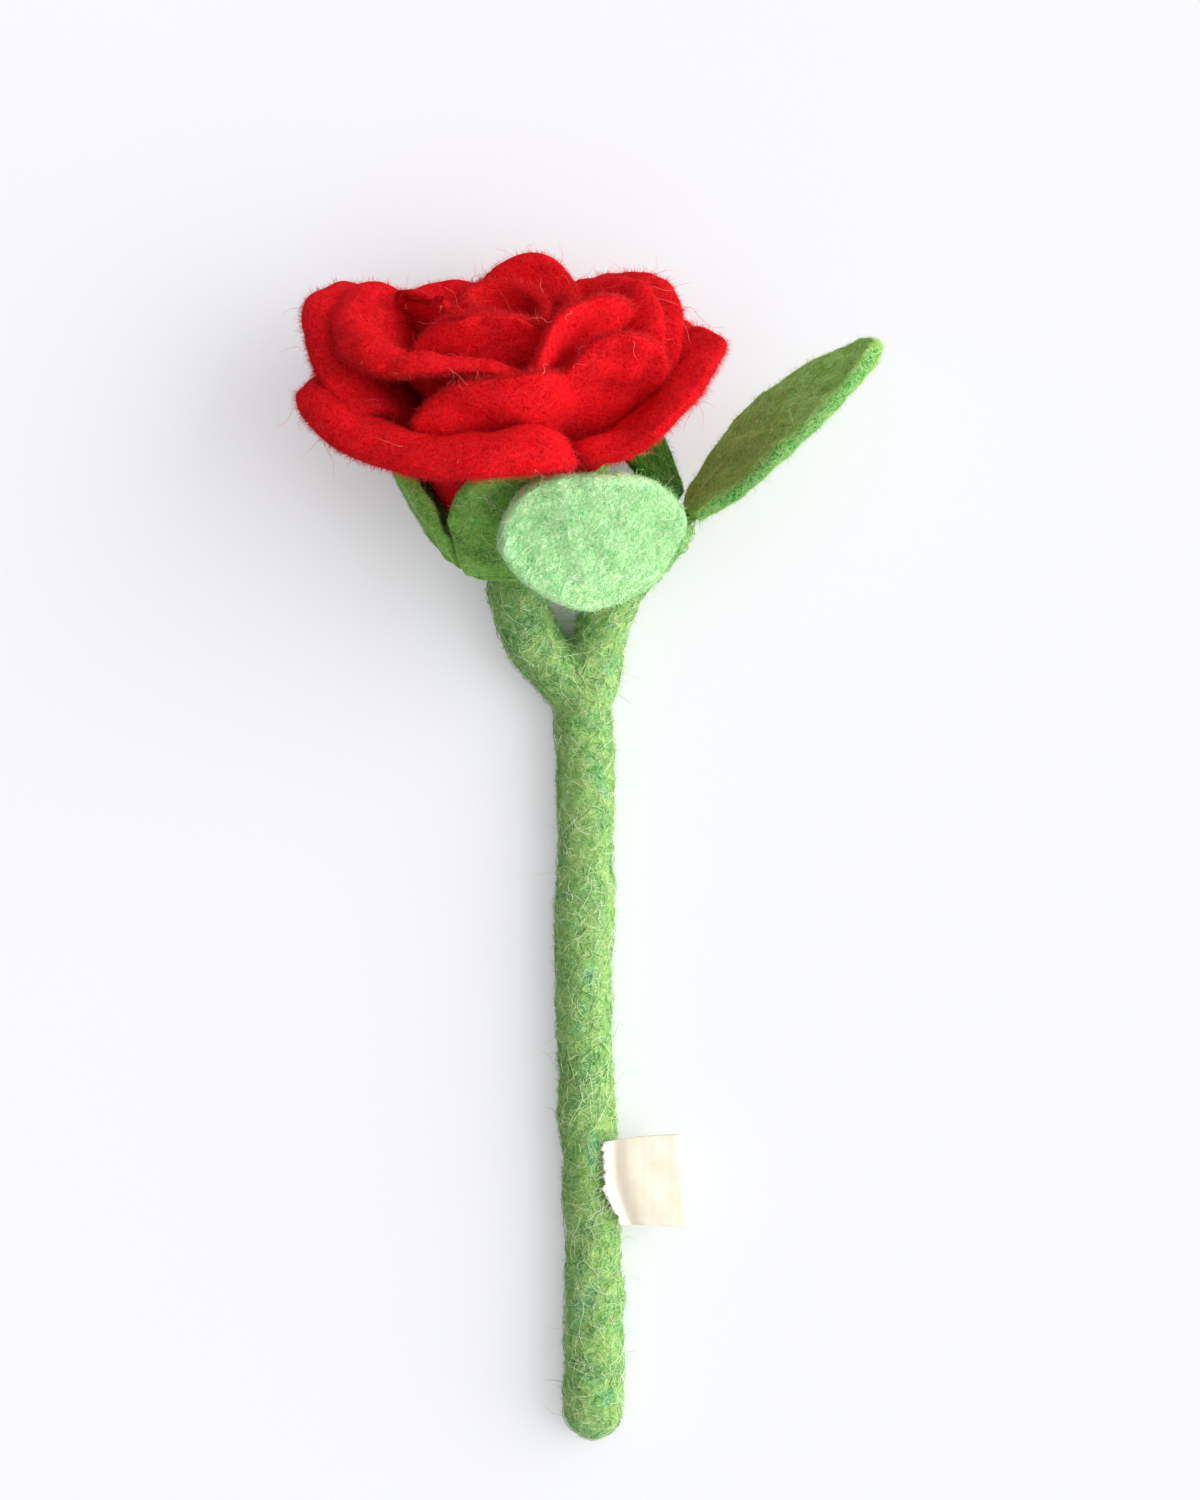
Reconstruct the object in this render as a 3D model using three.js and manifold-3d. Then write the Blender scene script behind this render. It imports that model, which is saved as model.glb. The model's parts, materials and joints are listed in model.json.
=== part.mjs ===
// Felt rose lying on a table: a felted stem forked in two, the bloom on the left branch, three
// leaflets on the right branch and a folded ribbon label sewn to the stem.
// Millimetres. +X is to the right, +Y runs from the foot of the stem to the bloom, +Z is up.
// The stem lies on the table plane z = 0, and the origin is under the middle of its straight length.
import * as THREE from 'three';
import { mergeVertices } from 'three/addons/utils/BufferGeometryUtils.js';
import Module from 'manifold-3d';

const wasm = await Module();
wasm.setup();

// Felt sheet, the gap between touching pieces, and the depth of the flat that the stem lies on
const FELT = 2.6;
const GAP = 0.3;
const FLAT = 0.5;

// Stem: a felted rope, how far its line runs each way from the origin, and how it wanders sideways
const STEM_RADIUS = 5.8;
const STEM_DOWN = 68;
const STEM_UP = 78.5;
const STEM_WANDER = [1.4, 1.4, 0.25, -0.7, -0.3, -0.8];
const STEM_STEP = 9;
const STEM_SIDES = 16;
const DOME_TURNS = [80, 55, 28];

// Left branch, from the fork to the neck under the bloom; its bends are shares of the way
const NECK_SIDE = -14.2;
const NECK_AHEAD = 25.1;
const NECK_RISE = 3.7;
const NECK_BENDS = [[0.27, 0.22, 0.08], [0.68, 0.51, 0.35], [0.9, 0.76, 0.73]];

// Right branch, from the fork to the knot where the leaflets are sewn on
const BRANCH_RADIUS = 5.2;
const BRANCH_SIDE = 17.5;
const BRANCH_AHEAD = 35.4;
const BRANCH_RISE = 10.2;
const BRANCH_BENDS = [
  [0.1, 0.16, 0.03], [0.18, 0.33, 0.12], [0.26, 0.52, 0.26], [0.41, 0.68, 0.46], [0.69, 0.85, 0.76],
];
const BRANCH_STEP = 6;

// Wires inside the felt
const WIRE_RADIUS = 1;
const WIRE_SIDES = 10;
const FLOWER_WIRE_LENGTH = 24;

// Bloom: how far its axis rises off the table and leans to the left, and what the petals are sewn to
const BLOOM_RISE = 28;
const BLOOM_LEAN = 1.5;
const DISC_RADIUS = 12;
const CORE_FOOT_RADIUS = 8.4;
const CORE_TOP_RADIUS = 4.2;
const CORE_HEIGHT = 36;
const ROUND_SIDES = 20;

// Rings of petals, from the inside out: the height of their feet on the core, the radius and the height of
// the point that their curves run by above it, and how far in and over the rim they come before they roll
// outward to it
const INNER = { foot: 28, lowOut: 9.5, low: 38, back: 5, over: 9 };
const MIDDLE = { foot: 20, lowOut: 12, low: 30, back: 9, over: 15 };
const FRONT = { foot: 12, lowOut: 12, low: 24, back: 2, over: 10 };
const UPRIGHT = { foot: 12, lowOut: 14, low: 24, back: 12, over: 12 };
const FLARED = { foot: 4.5, lowOut: 16, low: 22, back: 9, over: 16 };
const SIDE = { foot: 4.5, lowOut: 15, low: 20, back: 18, over: 3 };
const BACK = { foot: 4.5, lowOut: 15, low: 20, back: 12, over: 6 };

// Petals: points of the rim, each its angle round the bloom from the right side to the front, its distance
// from the bloom axis, its height above the calyx disc and its share of the ring's roll outward
const PETALS = [
  {
    name: 'inner_right', ring: INNER,
    rim: [
      [-40, 13.2, 50, -0.4], [-28, 13, 53, -0.4], [-12, 13.2, 54.5, -0.4], [8, 13.6, 54.5, -0.4],
      [26, 14, 53.5, -0.4], [38, 14.2, 51, -0.4],
    ],
  },
  {
    name: 'inner_front', ring: INNER,
    rim: [
      [46, 13.4, 49.5, -0.2], [56, 12.6, 53.2, -0.2], [75, 11.4, 55.5, -0.2], [95, 11.2, 56.2, -0.2],
      [115, 12, 56.2, -0.2], [135, 14.8, 55, 0], [147, 17, 53, 0], [158, 20.5, 48, 0],
    ],
  },
  {
    name: 'inner_left', ring: INNER,
    rim: [
      [128, 9.8, 51.5, 0], [146, 10.5, 54.4, 0], [167, 13, 55.4, 0.1], [182, 16.8, 55.2, 0.2],
      [193, 20.5, 54.2, 0.3], [202, 24.5, 51.5, 0.3], [209, 27, 47.5, 0.3],
    ],
  },
  {
    name: 'inner_back', ring: INNER,
    rim: [
      [234, 14, 50.5, 0], [248, 13.4, 53.8, 0], [264, 13.1, 55.8, 0.1], [283, 14.2, 57, 0.1],
      [303, 15.8, 57.4, 0.1], [316, 17.2, 55.2, 0.1], [328, 18.3, 51.5, 0],
    ],
  },
  {
    name: 'middle_right', ring: MIDDLE,
    rim: [
      [-2, 26, 50.5, 0], [6, 24.2, 54.6, 0], [17, 21, 57.4, -0.1], [30, 18.2, 57.6, -0.1],
      [45, 16.8, 57, -0.1], [57, 16.8, 55, -0.1], [68, 18.4, 51, -0.1], [79, 20.2, 45.5, -0.1],
    ],
  },
  {
    name: 'middle_left', ring: MIDDLE,
    rim: [
      [68, 16.2, 41.5, 0.2], [82, 18.2, 44.6, 0.4], [106, 20.2, 46.6, 0.5], [128, 24.2, 46.8, 0.6],
      [143, 28.8, 45.8, 0.7], [153, 32, 46.8, 0.8], [163, 34, 47.4, 0.9], [174, 34.6, 48.8, 0.9],
      [186, 34.4, 50, 0.9], [199, 32, 50.4, 0.8], [210, 29, 48, 0.6],
    ],
  },
  {
    name: 'middle_back', ring: MIDDLE,
    rim: [
      [206, 26.5, 44, 0.3], [217, 24.5, 48.4, 0.3], [227, 22.8, 50.6, 0.3], [237, 21, 51.2, 0.3],
      [248, 20, 50, 0.3], [263, 19.5, 48, 0.2], [279, 19.5, 45, 0.2],
    ],
  },
  {
    name: 'middle_back_right', ring: MIDDLE,
    rim: [
      [294, 20, 45.5, 0.2], [314, 23.2, 50.4, 0.3], [331, 26.2, 51.8, 0.3], [346, 28.8, 52.4, 0.3],
      [356, 30.6, 50.6, 0.3], [364, 31.6, 47.8, 0.3], [371, 32, 43.5, 0.3],
    ],
  },
  {
    name: 'upright_front', ring: FRONT,
    rim: [
      [16, 34, 42, -0.4], [20.5, 32.6, 48.6, -0.6], [26, 29.8, 51.8, -0.7], [33, 26.2, 53, -0.7],
      [40, 24.2, 52.4, -0.7], [47, 23.2, 50.6, -0.7], [53, 22.2, 48, -0.7], [59, 21.6, 46, -0.7],
      [65, 22.2, 47.2, -0.7], [73, 23.2, 48.2, -0.7], [85, 23.6, 48, -0.7], [100, 23.8, 47.4, -0.7],
      [113, 24.6, 46.2, -0.7], [124, 26.4, 43, -0.6], [133, 28.6, 37.4, -0.5],
    ],
  },
  {
    name: 'upright_left', ring: UPRIGHT,
    rim: [
      [150, 34, 34.5, 0.7], [163, 37.4, 40, 0.8], [175, 39.4, 44.4, 0.8], [186, 40.4, 48, 0.8],
      [197, 40, 50.4, 0.8], [208, 38, 50.6, 0.7], [222, 32.5, 46, 0.5],
    ],
  },
  {
    name: 'upright_back', ring: UPRIGHT,
    rim: [
      [220, 31.5, 40, 0.3], [238, 32, 43.6, 0.4], [262, 32, 44.6, 0.4], [284, 32.4, 44.6, 0.4],
      [300, 31, 41.5, 0.3],
    ],
  },
  {
    name: 'upright_right', ring: UPRIGHT,
    rim: [
      [297, 31, 42.5, 0.3], [308, 32.3, 47, 0.4], [318, 34, 49.2, 0.4], [328, 35.6, 50, 0.4],
      [340, 36, 50, 0.4], [350, 36, 47.6, 0.4], [361, 35.4, 43.8, 0.4], [372, 34, 38, 0.3],
    ],
  },
  {
    name: 'flared_front', ring: FLARED,
    rim: [
      [63, 28.5, 27.6, 1], [69, 30.8, 29.2, 1], [79, 33, 30.7, 1], [92, 34.4, 31.2, 1],
      [106, 34.8, 30.6, 1], [124, 36.8, 30.8, 1], [144, 40.2, 32.6, 0.9], [155, 42.2, 35, 0.8],
      [165, 42.8, 36.8, 0.7], [175, 39.5, 37, 0.6],
    ],
  },
  {
    name: 'flared_right', ring: SIDE,
    rim: [
      [-12, 36.5, 43.5, 0.2], [-4, 40.6, 44.8, 0.3], [3.5, 44.4, 45, 0.4], [10, 43.4, 43, 0.5],
      [19, 42.2, 40.8, 0.5], [28, 41, 38.2, 0.6], [38, 39, 34.8, 0.7], [48, 35.6, 31.6, 0.8],
      [59, 30, 29, 0.8],
    ],
  },
  {
    name: 'flared_back_left', ring: BACK,
    rim: [
      [190, 40, 34, 0.6], [204, 41.5, 36.5, 1], [232, 41.5, 36.5, 1], [258, 40.5, 36, 1],
      [274, 39, 33, 0.6],
    ],
  },
  {
    name: 'flared_back_right', ring: BACK,
    rim: [
      [264, 39, 33, 0.6], [282, 40.5, 36.5, 1], [306, 41.5, 38, 1], [332, 41.5, 40, 1],
      [346, 40.5, 39, 0.6],
    ],
  },
];
const PETAL_SHAPE = { footShare: 0.5, fullAt: 0.7, columns: 15, rows: 10 };

// Sepals round the calyx disc, in the same terms
const CALYX = { foot: 0.5, lowOut: 16.5, low: 3.5, back: 4, over: -6 };
const SEPALS = [
  {
    name: 'left', ring: CALYX,
    rim: [
      [133, 19.5, 8, 1], [141, 21.4, 14, 1], [150, 23.4, 20, 1], [172, 25, 25, 1],
      [200, 22.4, 23.4, 1], [213, 21, 19, 1],
    ],
  },
  {
    name: 'front', ring: CALYX,
    rim: [
      [55, 19.4, 19, 1], [67, 19.8, 23, 1], [90, 20.4, 25.5, 1], [108, 20.4, 24.2, 1],
      [120, 20.4, 20.6, 1], [132, 20.2, 13, 1],
    ],
  },
  {
    name: 'right', ring: CALYX,
    rim: [
      [-9, 20, 19, 1], [2, 20, 22.6, 1], [22, 20, 24.5, 1], [42, 20, 22.6, 1], [53, 20, 19, 1],
    ],
  },
  {
    name: 'back_right', ring: CALYX,
    rim: [
      [279, 20, 19, 1], [291, 20, 22.6, 1], [314, 20, 24.5, 1], [338, 20, 22.6, 1], [349, 20, 19, 1],
    ],
  },
  {
    name: 'back_left', ring: CALYX,
    rim: [
      [215, 20, 19, 1], [226, 20, 22.6, 1], [246, 20, 24.5, 1], [266, 20, 22.6, 1], [277, 20, 19, 1],
    ],
  },
];
const SEPAL_SHAPE = { footShare: 0.98, fullAt: 0.7, columns: 9, rows: 6 };

// Bud: a felt strip rolled up on top of the core, stretched sideways, tipped to the right and to the front
const BUD_TURNS = 1.1;
const BUD_HEIGHT = 18;
const BUD_HOLLOW = 2.2;
const BUD_PITCH = 4.4;
const BUD_START = 69;
const BUD_SIDE = -1;
const BUD_STRETCH = 1.3;
const BUD_TIP = 0.12;
const BUD_NOD = 0.3;
const BUD_SHAPE = { columns: 25, rows: 4 };

// Leaflets round the knot: their sizes, then the side of the knot that each is sewn to and how its
// blade is turned from the right, raised and rolled. A smaller heel is a blunter foot, and a smaller point
// a blunter tip.
const FRONT_LEAF = { length: 42.3, width: 30.5, foot: 8, heel: 0.6, arch: 4, cup: 1, point: 0.45 };
const RIGHT_LEAF = { length: 52.8, width: 24, foot: 8.5, heel: 1.2, arch: 1.5, cup: 2, point: 0.8 };
const BACK_LEAF = { length: 26, width: 17, foot: 6, heel: 1, arch: 1, cup: 1, point: 0.6 };
const LEAVES = [
  { name: 'front', blade: FRONT_LEAF, seat: [0.25, -0.45, 1], turn: 172.5, raise: 33.6, roll: 26 },
  { name: 'right', blade: RIGHT_LEAF, seat: [0.76, 0.64, 0.1], turn: 41.5, raise: 6.8, roll: 61 },
  { name: 'back', blade: BACK_LEAF, seat: [0.05, 1, -0.25], turn: 118, raise: -12.2, roll: -62 },
];
const LEAF_TIP = 3;
const LEAF_WIDEST = 0.45;
const LEAF_GAP = 0.6;
const LEAF_SHAPE = { columns: 7, rows: 10 };

// Label: a ribbon folded in two, its cut ends sewn together and to the upper right of the stem
const RIBBON = 0.4;
const LABEL_WIDTH = 19.6;
const LABEL_REACH = 16;
const LABEL_OPEN = 1.6;
const LABEL_SEAM = 1.6;
const LABEL_GAP = 0.7;
const LABEL_AT = -20.5;
const LABEL_ROUND_STEM = 32;
const LABEL_DROOP = 8;
const LABEL_SKEW = 7;
const LABEL_SEGMENTS = 5;

const PETAL_RED = { color: '#c8101c', roughness: 0.95, metalness: 0 };
const LEAF_GREEN = { color: '#8fbf73', roughness: 0.95, metalness: 0 };
const STEM_GREEN = { color: '#7fa85a', roughness: 0.95, metalness: 0 };
const RIBBON_CREAM = { color: '#f3ead6', roughness: 0.5, metalness: 0 };
const WIRE_GREY = { color: '#9a9c9e', roughness: 0.4, metalness: 1 };

const TABLE_SPAN = 1000;
const SLOPE_STEP = 1e-3;
const FULL_TURN = 360;

const { lerp, clamp, smoothstep, degToRad } = THREE.MathUtils;
const up = new THREE.Vector3(0, 0, 1);
const rose = new THREE.Group();
rose.name = 'felt_rose';

// Solids for joining and cutting
function toSolid(geometry) {
  const bare = new THREE.BufferGeometry();
  bare.setAttribute('position', geometry.attributes.position);
  bare.setIndex(geometry.index);
  const { attributes, index } = mergeVertices(bare);
  const build = (triangles) => new wasm.Manifold(new wasm.Mesh({
    numProp: 3,
    vertProperties: new Float32Array(attributes.position.array),
    triVerts: new Uint32Array(triangles),
  }));
  const solid = build(index.array);
  return solid.volume() > 0 ? solid : build([...index.array].reverse());
}

function shell(points, faces) {
  const geometry = new THREE.BufferGeometry().setFromPoints(points);
  geometry.setIndex(faces);
  return toSolid(geometry);
}

function largestBody(solid) {
  return solid.decompose().reduce((best, body) => (body.volume() > best.volume() ? body : best));
}

function toMesh(name, solid, finish) {
  const { vertProperties, triVerts } = solid.getMesh();
  const geometry = new THREE.BufferGeometry();
  geometry.setAttribute('position', new THREE.BufferAttribute(vertProperties, 3));
  geometry.setIndex(new THREE.BufferAttribute(triVerts, 1));
  geometry.computeVertexNormals();
  const mesh = new THREE.Mesh(geometry, new THREE.MeshStandardMaterial(finish));
  mesh.name = name;
  return mesh;
}

// Felt sheet about a middle surface pointAt(u, v), with u from -1 to 1 across and v from 0 to 1 along.
// Spare thickens and widens it all round, to cut room for it in its neighbours.
function feltSheet(pointAt, { columns, rows }, spare) {
  const front = [];
  const back = [];
  for (let row = 0; row < rows; row += 1) {
    for (let column = 0; column < columns; column += 1) {
      const u = (2 * column) / (columns - 1) - 1;
      const v = row / (rows - 1);
      const across = pointAt(u + SLOPE_STEP, v).sub(pointAt(u - SLOPE_STEP, v)).normalize();
      const along = pointAt(u, v + SLOPE_STEP).sub(pointAt(u, v - SLOPE_STEP)).normalize();
      const normal = across.clone().cross(along).setLength(FELT / 2 + spare);
      const middle = pointAt(u, v);
      if (column === 0) middle.addScaledVector(across, -spare);
      if (column === columns - 1) middle.addScaledVector(across, spare);
      if (row === 0) middle.addScaledVector(along, -spare);
      if (row === rows - 1) middle.addScaledVector(along, spare);
      front.push(middle.clone().add(normal));
      back.push(middle.clone().sub(normal));
    }
  }
  const faces = [];
  const quad = (a, b, c, d) => faces.push(a, b, c, a, c, d);
  const under = columns * rows;
  for (let row = 0; row + 1 < rows; row += 1) {
    for (let column = 0; column + 1 < columns; column += 1) {
      const a = row * columns + column;
      quad(a, a + 1, a + columns + 1, a + columns);
      quad(under + a, under + a + columns, under + a + columns + 1, under + a + 1);
    }
  }
  const rim = [];
  for (let column = 0; column + 1 < columns; column += 1) rim.push(column);
  for (let row = 0; row + 1 < rows; row += 1) rim.push((row + 1) * columns - 1);
  for (let column = columns - 1; column > 0; column -= 1) rim.push((rows - 1) * columns + column);
  for (let row = rows - 1; row > 0; row -= 1) rim.push(row * columns);
  rim.forEach((a, k) => {
    const b = rim[(k + 1) % rim.length];
    quad(a, under + a, under + b, b);
  });
  return shell([...front, ...back], faces);
}

// Round rope along a line of points, with domed ends
function rope(line, radius, sides, step) {
  const curve = new THREE.CatmullRomCurve3(line, false, 'centripetal');
  const steps = Math.ceil(curve.getLength() / step);
  const dome = DOME_TURNS.map((turn) => [Math.sin(degToRad(turn)), Math.cos(degToRad(turn))]);
  const stations = dome.map(([out, share]) => [0, -out, share]);
  for (let k = 0; k <= steps; k += 1) stations.push([k / steps, 0, 1]);
  dome.reverse().forEach(([out, share]) => stations.push([1, out, share]));
  const points = [];
  const faces = [];
  stations.forEach(([at, out, share], k) => {
    const tangent = curve.getTangentAt(at);
    const centre = curve.getPointAt(at).addScaledVector(tangent, out * radius);
    const side = up.clone().cross(tangent).setLength(radius * share);
    const top = tangent.clone().cross(side);
    for (let i = 0; i < sides; i += 1) {
      const turn = (2 * Math.PI * i) / sides;
      points.push(centre.clone().addScaledVector(side, Math.cos(turn)).addScaledVector(top, Math.sin(turn)));
      if (k > 0) {
        const a = k * sides + i;
        const b = k * sides + ((i + 1) % sides);
        faces.push(a - sides, b - sides, b, a - sides, b, a);
      }
    }
  });
  const last = points.length - sides;
  for (let i = 1; i + 1 < sides; i += 1) {
    faces.push(0, i + 1, i);
    faces.push(last, last + i, last + i + 1);
  }
  return shell(points, faces);
}

// Table: what would reach below it is cut off flat
const slab = new THREE.BoxGeometry(TABLE_SPAN, TABLE_SPAN, TABLE_SPAN);
const table = toSolid(slab.translate(0, 0, -TABLE_SPAN / 2));

// Stem lines
const axisHeight = STEM_RADIUS - FLAT;
const stemLine = STEM_WANDER.map((x, k) => {
  const y = lerp(-STEM_DOWN, STEM_UP, k / (STEM_WANDER.length - 1));
  return new THREE.Vector3(x, y, axisHeight);
});
const fork = stemLine.at(-1);

function branchLine(way, bends) {
  const shares = [...bends, [1, 1, 1]];
  return shares.map((share) => new THREE.Vector3(...share).multiply(way).add(fork));
}
const neckWay = new THREE.Vector3(NECK_SIDE, NECK_AHEAD, NECK_RISE);
const knotWay = new THREE.Vector3(BRANCH_SIDE, BRANCH_AHEAD, BRANCH_RISE);
const bloomLine = [...stemLine, ...branchLine(neckWay, NECK_BENDS)];
const leafLine = branchLine(knotWay, BRANCH_BENDS);
const neck = bloomLine.at(-1);
const knot = leafLine.at(-1);

// Bloom group: it stands on the calyx disc, on the axis that rises from the neck
const bloom = new THREE.Group();
bloom.name = 'bloom';
bloom.rotation.set(degToRad(BLOOM_RISE - 90), 0, degToRad(BLOOM_LEAN), 'ZYX');
const bloomWay = up.clone().applyEuler(bloom.rotation);
bloom.position.copy(neck).addScaledVector(bloomWay, STEM_RADIUS + GAP + FELT);
bloom.updateMatrix();
rose.add(bloom);

// Stem felt, with a bore for each wire that runs on to the open air
const boreRadius = WIRE_RADIUS + GAP;
function bore(line, way) {
  const mouth = [line.at(-1), line.at(-1).clone().add(way)];
  return rope(line, boreRadius, WIRE_SIDES, STEM_STEP).add(rope(mouth, boreRadius, WIRE_SIDES, STEM_STEP));
}
const leafWay = knot.clone().sub(leafLine.at(-2)).setLength(2 * BRANCH_RADIUS);
const stemFelt = rope(bloomLine, STEM_RADIUS, STEM_SIDES, STEM_STEP)
  .add(rope([fork, ...leafLine], BRANCH_RADIUS, STEM_SIDES, BRANCH_STEP))
  .subtract(bore(bloomLine, bloomWay.clone().setLength(2 * STEM_RADIUS)))
  .subtract(bore(leafLine, leafWay))
  .subtract(table);
rose.add(toMesh('stem_felt', stemFelt, STEM_GREEN));
rose.add(toMesh('stem_wire', rope(bloomLine, WIRE_RADIUS, WIRE_SIDES, STEM_STEP), WIRE_GREY));
rose.add(toMesh('leaf_wire', rope(leafLine, WIRE_RADIUS, WIRE_SIDES, STEM_STEP), WIRE_GREY));

// Calyx disc, core and flower wire, turned about the bloom axis
function turned(profile) {
  const points = profile.map(([radius, height]) => new THREE.Vector2(radius, height));
  return toSolid(new THREE.LatheGeometry(points, ROUND_SIDES).rotateX(Math.PI / 2));
}
const discEdge = DISC_RADIUS - FELT / 2;
const coreTop = GAP + CORE_HEIGHT;
const wireTop = FLOWER_WIRE_LENGTH - FELT;
bloom.add(toMesh('calyx_disc', turned([
  [boreRadius, -FELT], [discEdge, -FELT], [DISC_RADIUS, -FELT / 2],
  [discEdge, 0], [boreRadius, 0], [boreRadius, -FELT],
]), LEAF_GREEN));
bloom.add(toMesh('bloom_core', turned([
  [boreRadius, GAP], [CORE_FOOT_RADIUS, GAP], [CORE_TOP_RADIUS, coreTop], [0, coreTop],
  [0, wireTop + GAP], [boreRadius, wireTop + GAP], [boreRadius, GAP],
]), PETAL_RED));
bloom.add(toMesh('flower_wire', turned([
  [0, -FELT], [WIRE_RADIUS, -FELT], [WIRE_RADIUS, wireTop], [0, wireTop],
]), WIRE_GREY));

function coreRadius(height) {
  return lerp(CORE_FOOT_RADIUS, CORE_TOP_RADIUS, clamp((height - GAP) / CORE_HEIGHT, 0, 1));
}

function roundBloom(angle, radius, height) {
  const turn = degToRad(angle);
  return new THREE.Vector3(radius * Math.cos(turn), -radius * Math.sin(turn), height);
}

// Petal or sepal: curves from its foot to the points of its rim, turned about the bloom axis
function petalSurface({ ring, rim }, footRadius, shape) {
  const smoothed = (points) => new THREE.CatmullRomCurve3(points, false, 'catmullrom');
  const edge = smoothed(rim.map(([angle, out, top]) => new THREE.Vector3(angle, out, top)));
  const rolls = smoothed(rim.map(([, , , roll]) => new THREE.Vector3(roll, 0, 0)));
  const middle = (rim[0][0] + rim.at(-1)[0]) / 2;
  return (u, v) => {
    const [angle, out, top] = edge.getPoint(clamp((u + 1) / 2, 0, 1)).toArray();
    const roll = rolls.getPoint(clamp((u + 1) / 2, 0, 1)).x;
    const curve = new THREE.CubicBezierCurve(
      new THREE.Vector2(footRadius, ring.foot),
      new THREE.Vector2(ring.lowOut, ring.low),
      new THREE.Vector2(out - roll * ring.back, top + roll * ring.over),
      new THREE.Vector2(out, top),
    );
    const { x, y } = curve.getPoint(v);
    const spread = lerp(shape.footShare, 1, smoothstep(v, 0, shape.fullAt));
    return roundBloom(middle + (angle - middle) * spread, x, y);
  };
}

function budPoint(u, v) {
  const turns = (BUD_TURNS * (u + 1)) / 2;
  const radius = BUD_HOLLOW + FELT / 2 + BUD_PITCH * turns;
  const point = roundBloom(BUD_START + FULL_TURN * turns, radius, coreTop + GAP + v * BUD_HEIGHT);
  point.setX(BUD_SIDE + BUD_STRETCH * point.x);
  return point.setZ(point.z + (BUD_NOD * point.y - BUD_TIP * point.x) * v);
}

// Each sheet of the bloom is trimmed clear of the sheets inside it, and of the table
const tableInBloom = table.transform(bloom.matrix.clone().invert().elements);
const takenRoom = [];
function addToBloom(name, surface, shape, finish) {
  const sheet = feltSheet(surface, shape, 0).subtract(tableInBloom);
  const clear = takenRoom.reduce((rest, room) => rest.subtract(room), sheet);
  takenRoom.push(feltSheet(surface, shape, GAP), sheet);
  bloom.add(toMesh(name, largestBody(clear), finish));
}
addToBloom('bud_roll', budPoint, BUD_SHAPE, PETAL_RED);
for (const petal of PETALS) {
  const footRadius = coreRadius(petal.ring.foot) + FELT / 2 + GAP;
  addToBloom(`petal_${petal.name}`, petalSurface(petal, footRadius, PETAL_SHAPE), PETAL_SHAPE, PETAL_RED);
}
for (const sepal of SEPALS) {
  const footRadius = DISC_RADIUS + FELT / 2 + GAP;
  addToBloom(`sepal_${sepal.name}`, petalSurface(sepal, footRadius, SEPAL_SHAPE), SEPAL_SHAPE, LEAF_GREEN);
}

// Leaflet: a blade from a narrow foot to its tip along its own x, arched along and cupped across
function leafPoint(blade, u, v) {
  const beyond = Math.max(0, (v - LEAF_WIDEST) / (1 - LEAF_WIDEST));
  const tipShare = Math.max(0, 1 - beyond * beyond) ** blade.point;
  const footShare = Math.sin((Math.PI / 2) * clamp(v / LEAF_WIDEST, 0, 1)) ** blade.heel;
  const nearFoot = v < LEAF_WIDEST;
  const width = lerp(nearFoot ? blade.foot : LEAF_TIP, blade.width, nearFoot ? footShare : tipShare);
  const lift = blade.arch * Math.sin(Math.PI * v) + (blade.cup * u * u * width) / (2 * blade.width);
  return new THREE.Vector3(v * blade.length, (u * width) / 2, lift);
}

for (const leaf of LEAVES) {
  const sheet = feltSheet((u, v) => leafPoint(leaf.blade, u, v), LEAF_SHAPE, 0);
  const mesh = toMesh(`leaf_${leaf.name}`, sheet, LEAF_GREEN);
  mesh.rotation.set(-degToRad(leaf.roll), -degToRad(leaf.raise), degToRad(leaf.turn), 'ZYX');
  const seat = new THREE.Vector3(...leaf.seat).normalize();
  const lying = seat.clone().cross(new THREE.Vector3(1, 0, 0).applyEuler(mesh.rotation)).length();
  mesh.position.copy(knot).addScaledVector(seat, BRANCH_RADIUS + LEAF_GAP + (lying * FELT) / 2);
  rose.add(mesh);
}

// Label: the outline of the folded ribbon, drawn out to its width
const labelFold = LABEL_OPEN / 2;
const labelFlat = LABEL_REACH - labelFold - RIBBON;
const labelFull = labelFlat / 3;
function labelOutline() {
  const outline = new THREE.Shape();
  const outer = labelFold + RIBBON;
  outline.moveTo(0, -RIBBON);
  outline.quadraticCurveTo(labelFull, -outer, labelFlat, -outer);
  outline.absarc(labelFlat, 0, outer, -Math.PI / 2, Math.PI / 2, false);
  outline.quadraticCurveTo(labelFull, outer, 0, RIBBON);
  const inside = new THREE.Path();
  inside.moveTo(LABEL_SEAM, 0);
  inside.quadraticCurveTo(labelFull, labelFold, labelFlat, labelFold);
  inside.absarc(labelFlat, 0, labelFold, Math.PI / 2, -Math.PI / 2, true);
  inside.quadraticCurveTo(labelFull, -labelFold, LABEL_SEAM, 0);
  outline.holes.push(inside);
  return outline;
}
const drawnOut = { depth: LABEL_WIDTH, bevelEnabled: false, curveSegments: LABEL_SEGMENTS };
const ribbon = new THREE.ExtrudeGeometry(labelOutline(), drawnOut).translate(0, 0, -LABEL_WIDTH / 2);
const label = toMesh('label', toSolid(ribbon), RIBBON_CREAM);
const stemCurve = new THREE.CatmullRomCurve3(stemLine, false, 'centripetal');
const labelSeat = stemCurve.getPointAt((LABEL_AT + STEM_DOWN) / (STEM_UP + STEM_DOWN));
const labelOut = STEM_RADIUS + LABEL_GAP + RIBBON;
const labelRound = degToRad(LABEL_ROUND_STEM);
label.position.copy(labelSeat);
label.position.x += labelOut * Math.sin(labelRound);
label.position.z += labelOut * Math.cos(labelRound);
label.rotation.set(Math.PI / 2, degToRad(LABEL_DROOP), degToRad(LABEL_SKEW), 'ZYX');
rose.add(label);

export default rose;
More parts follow.
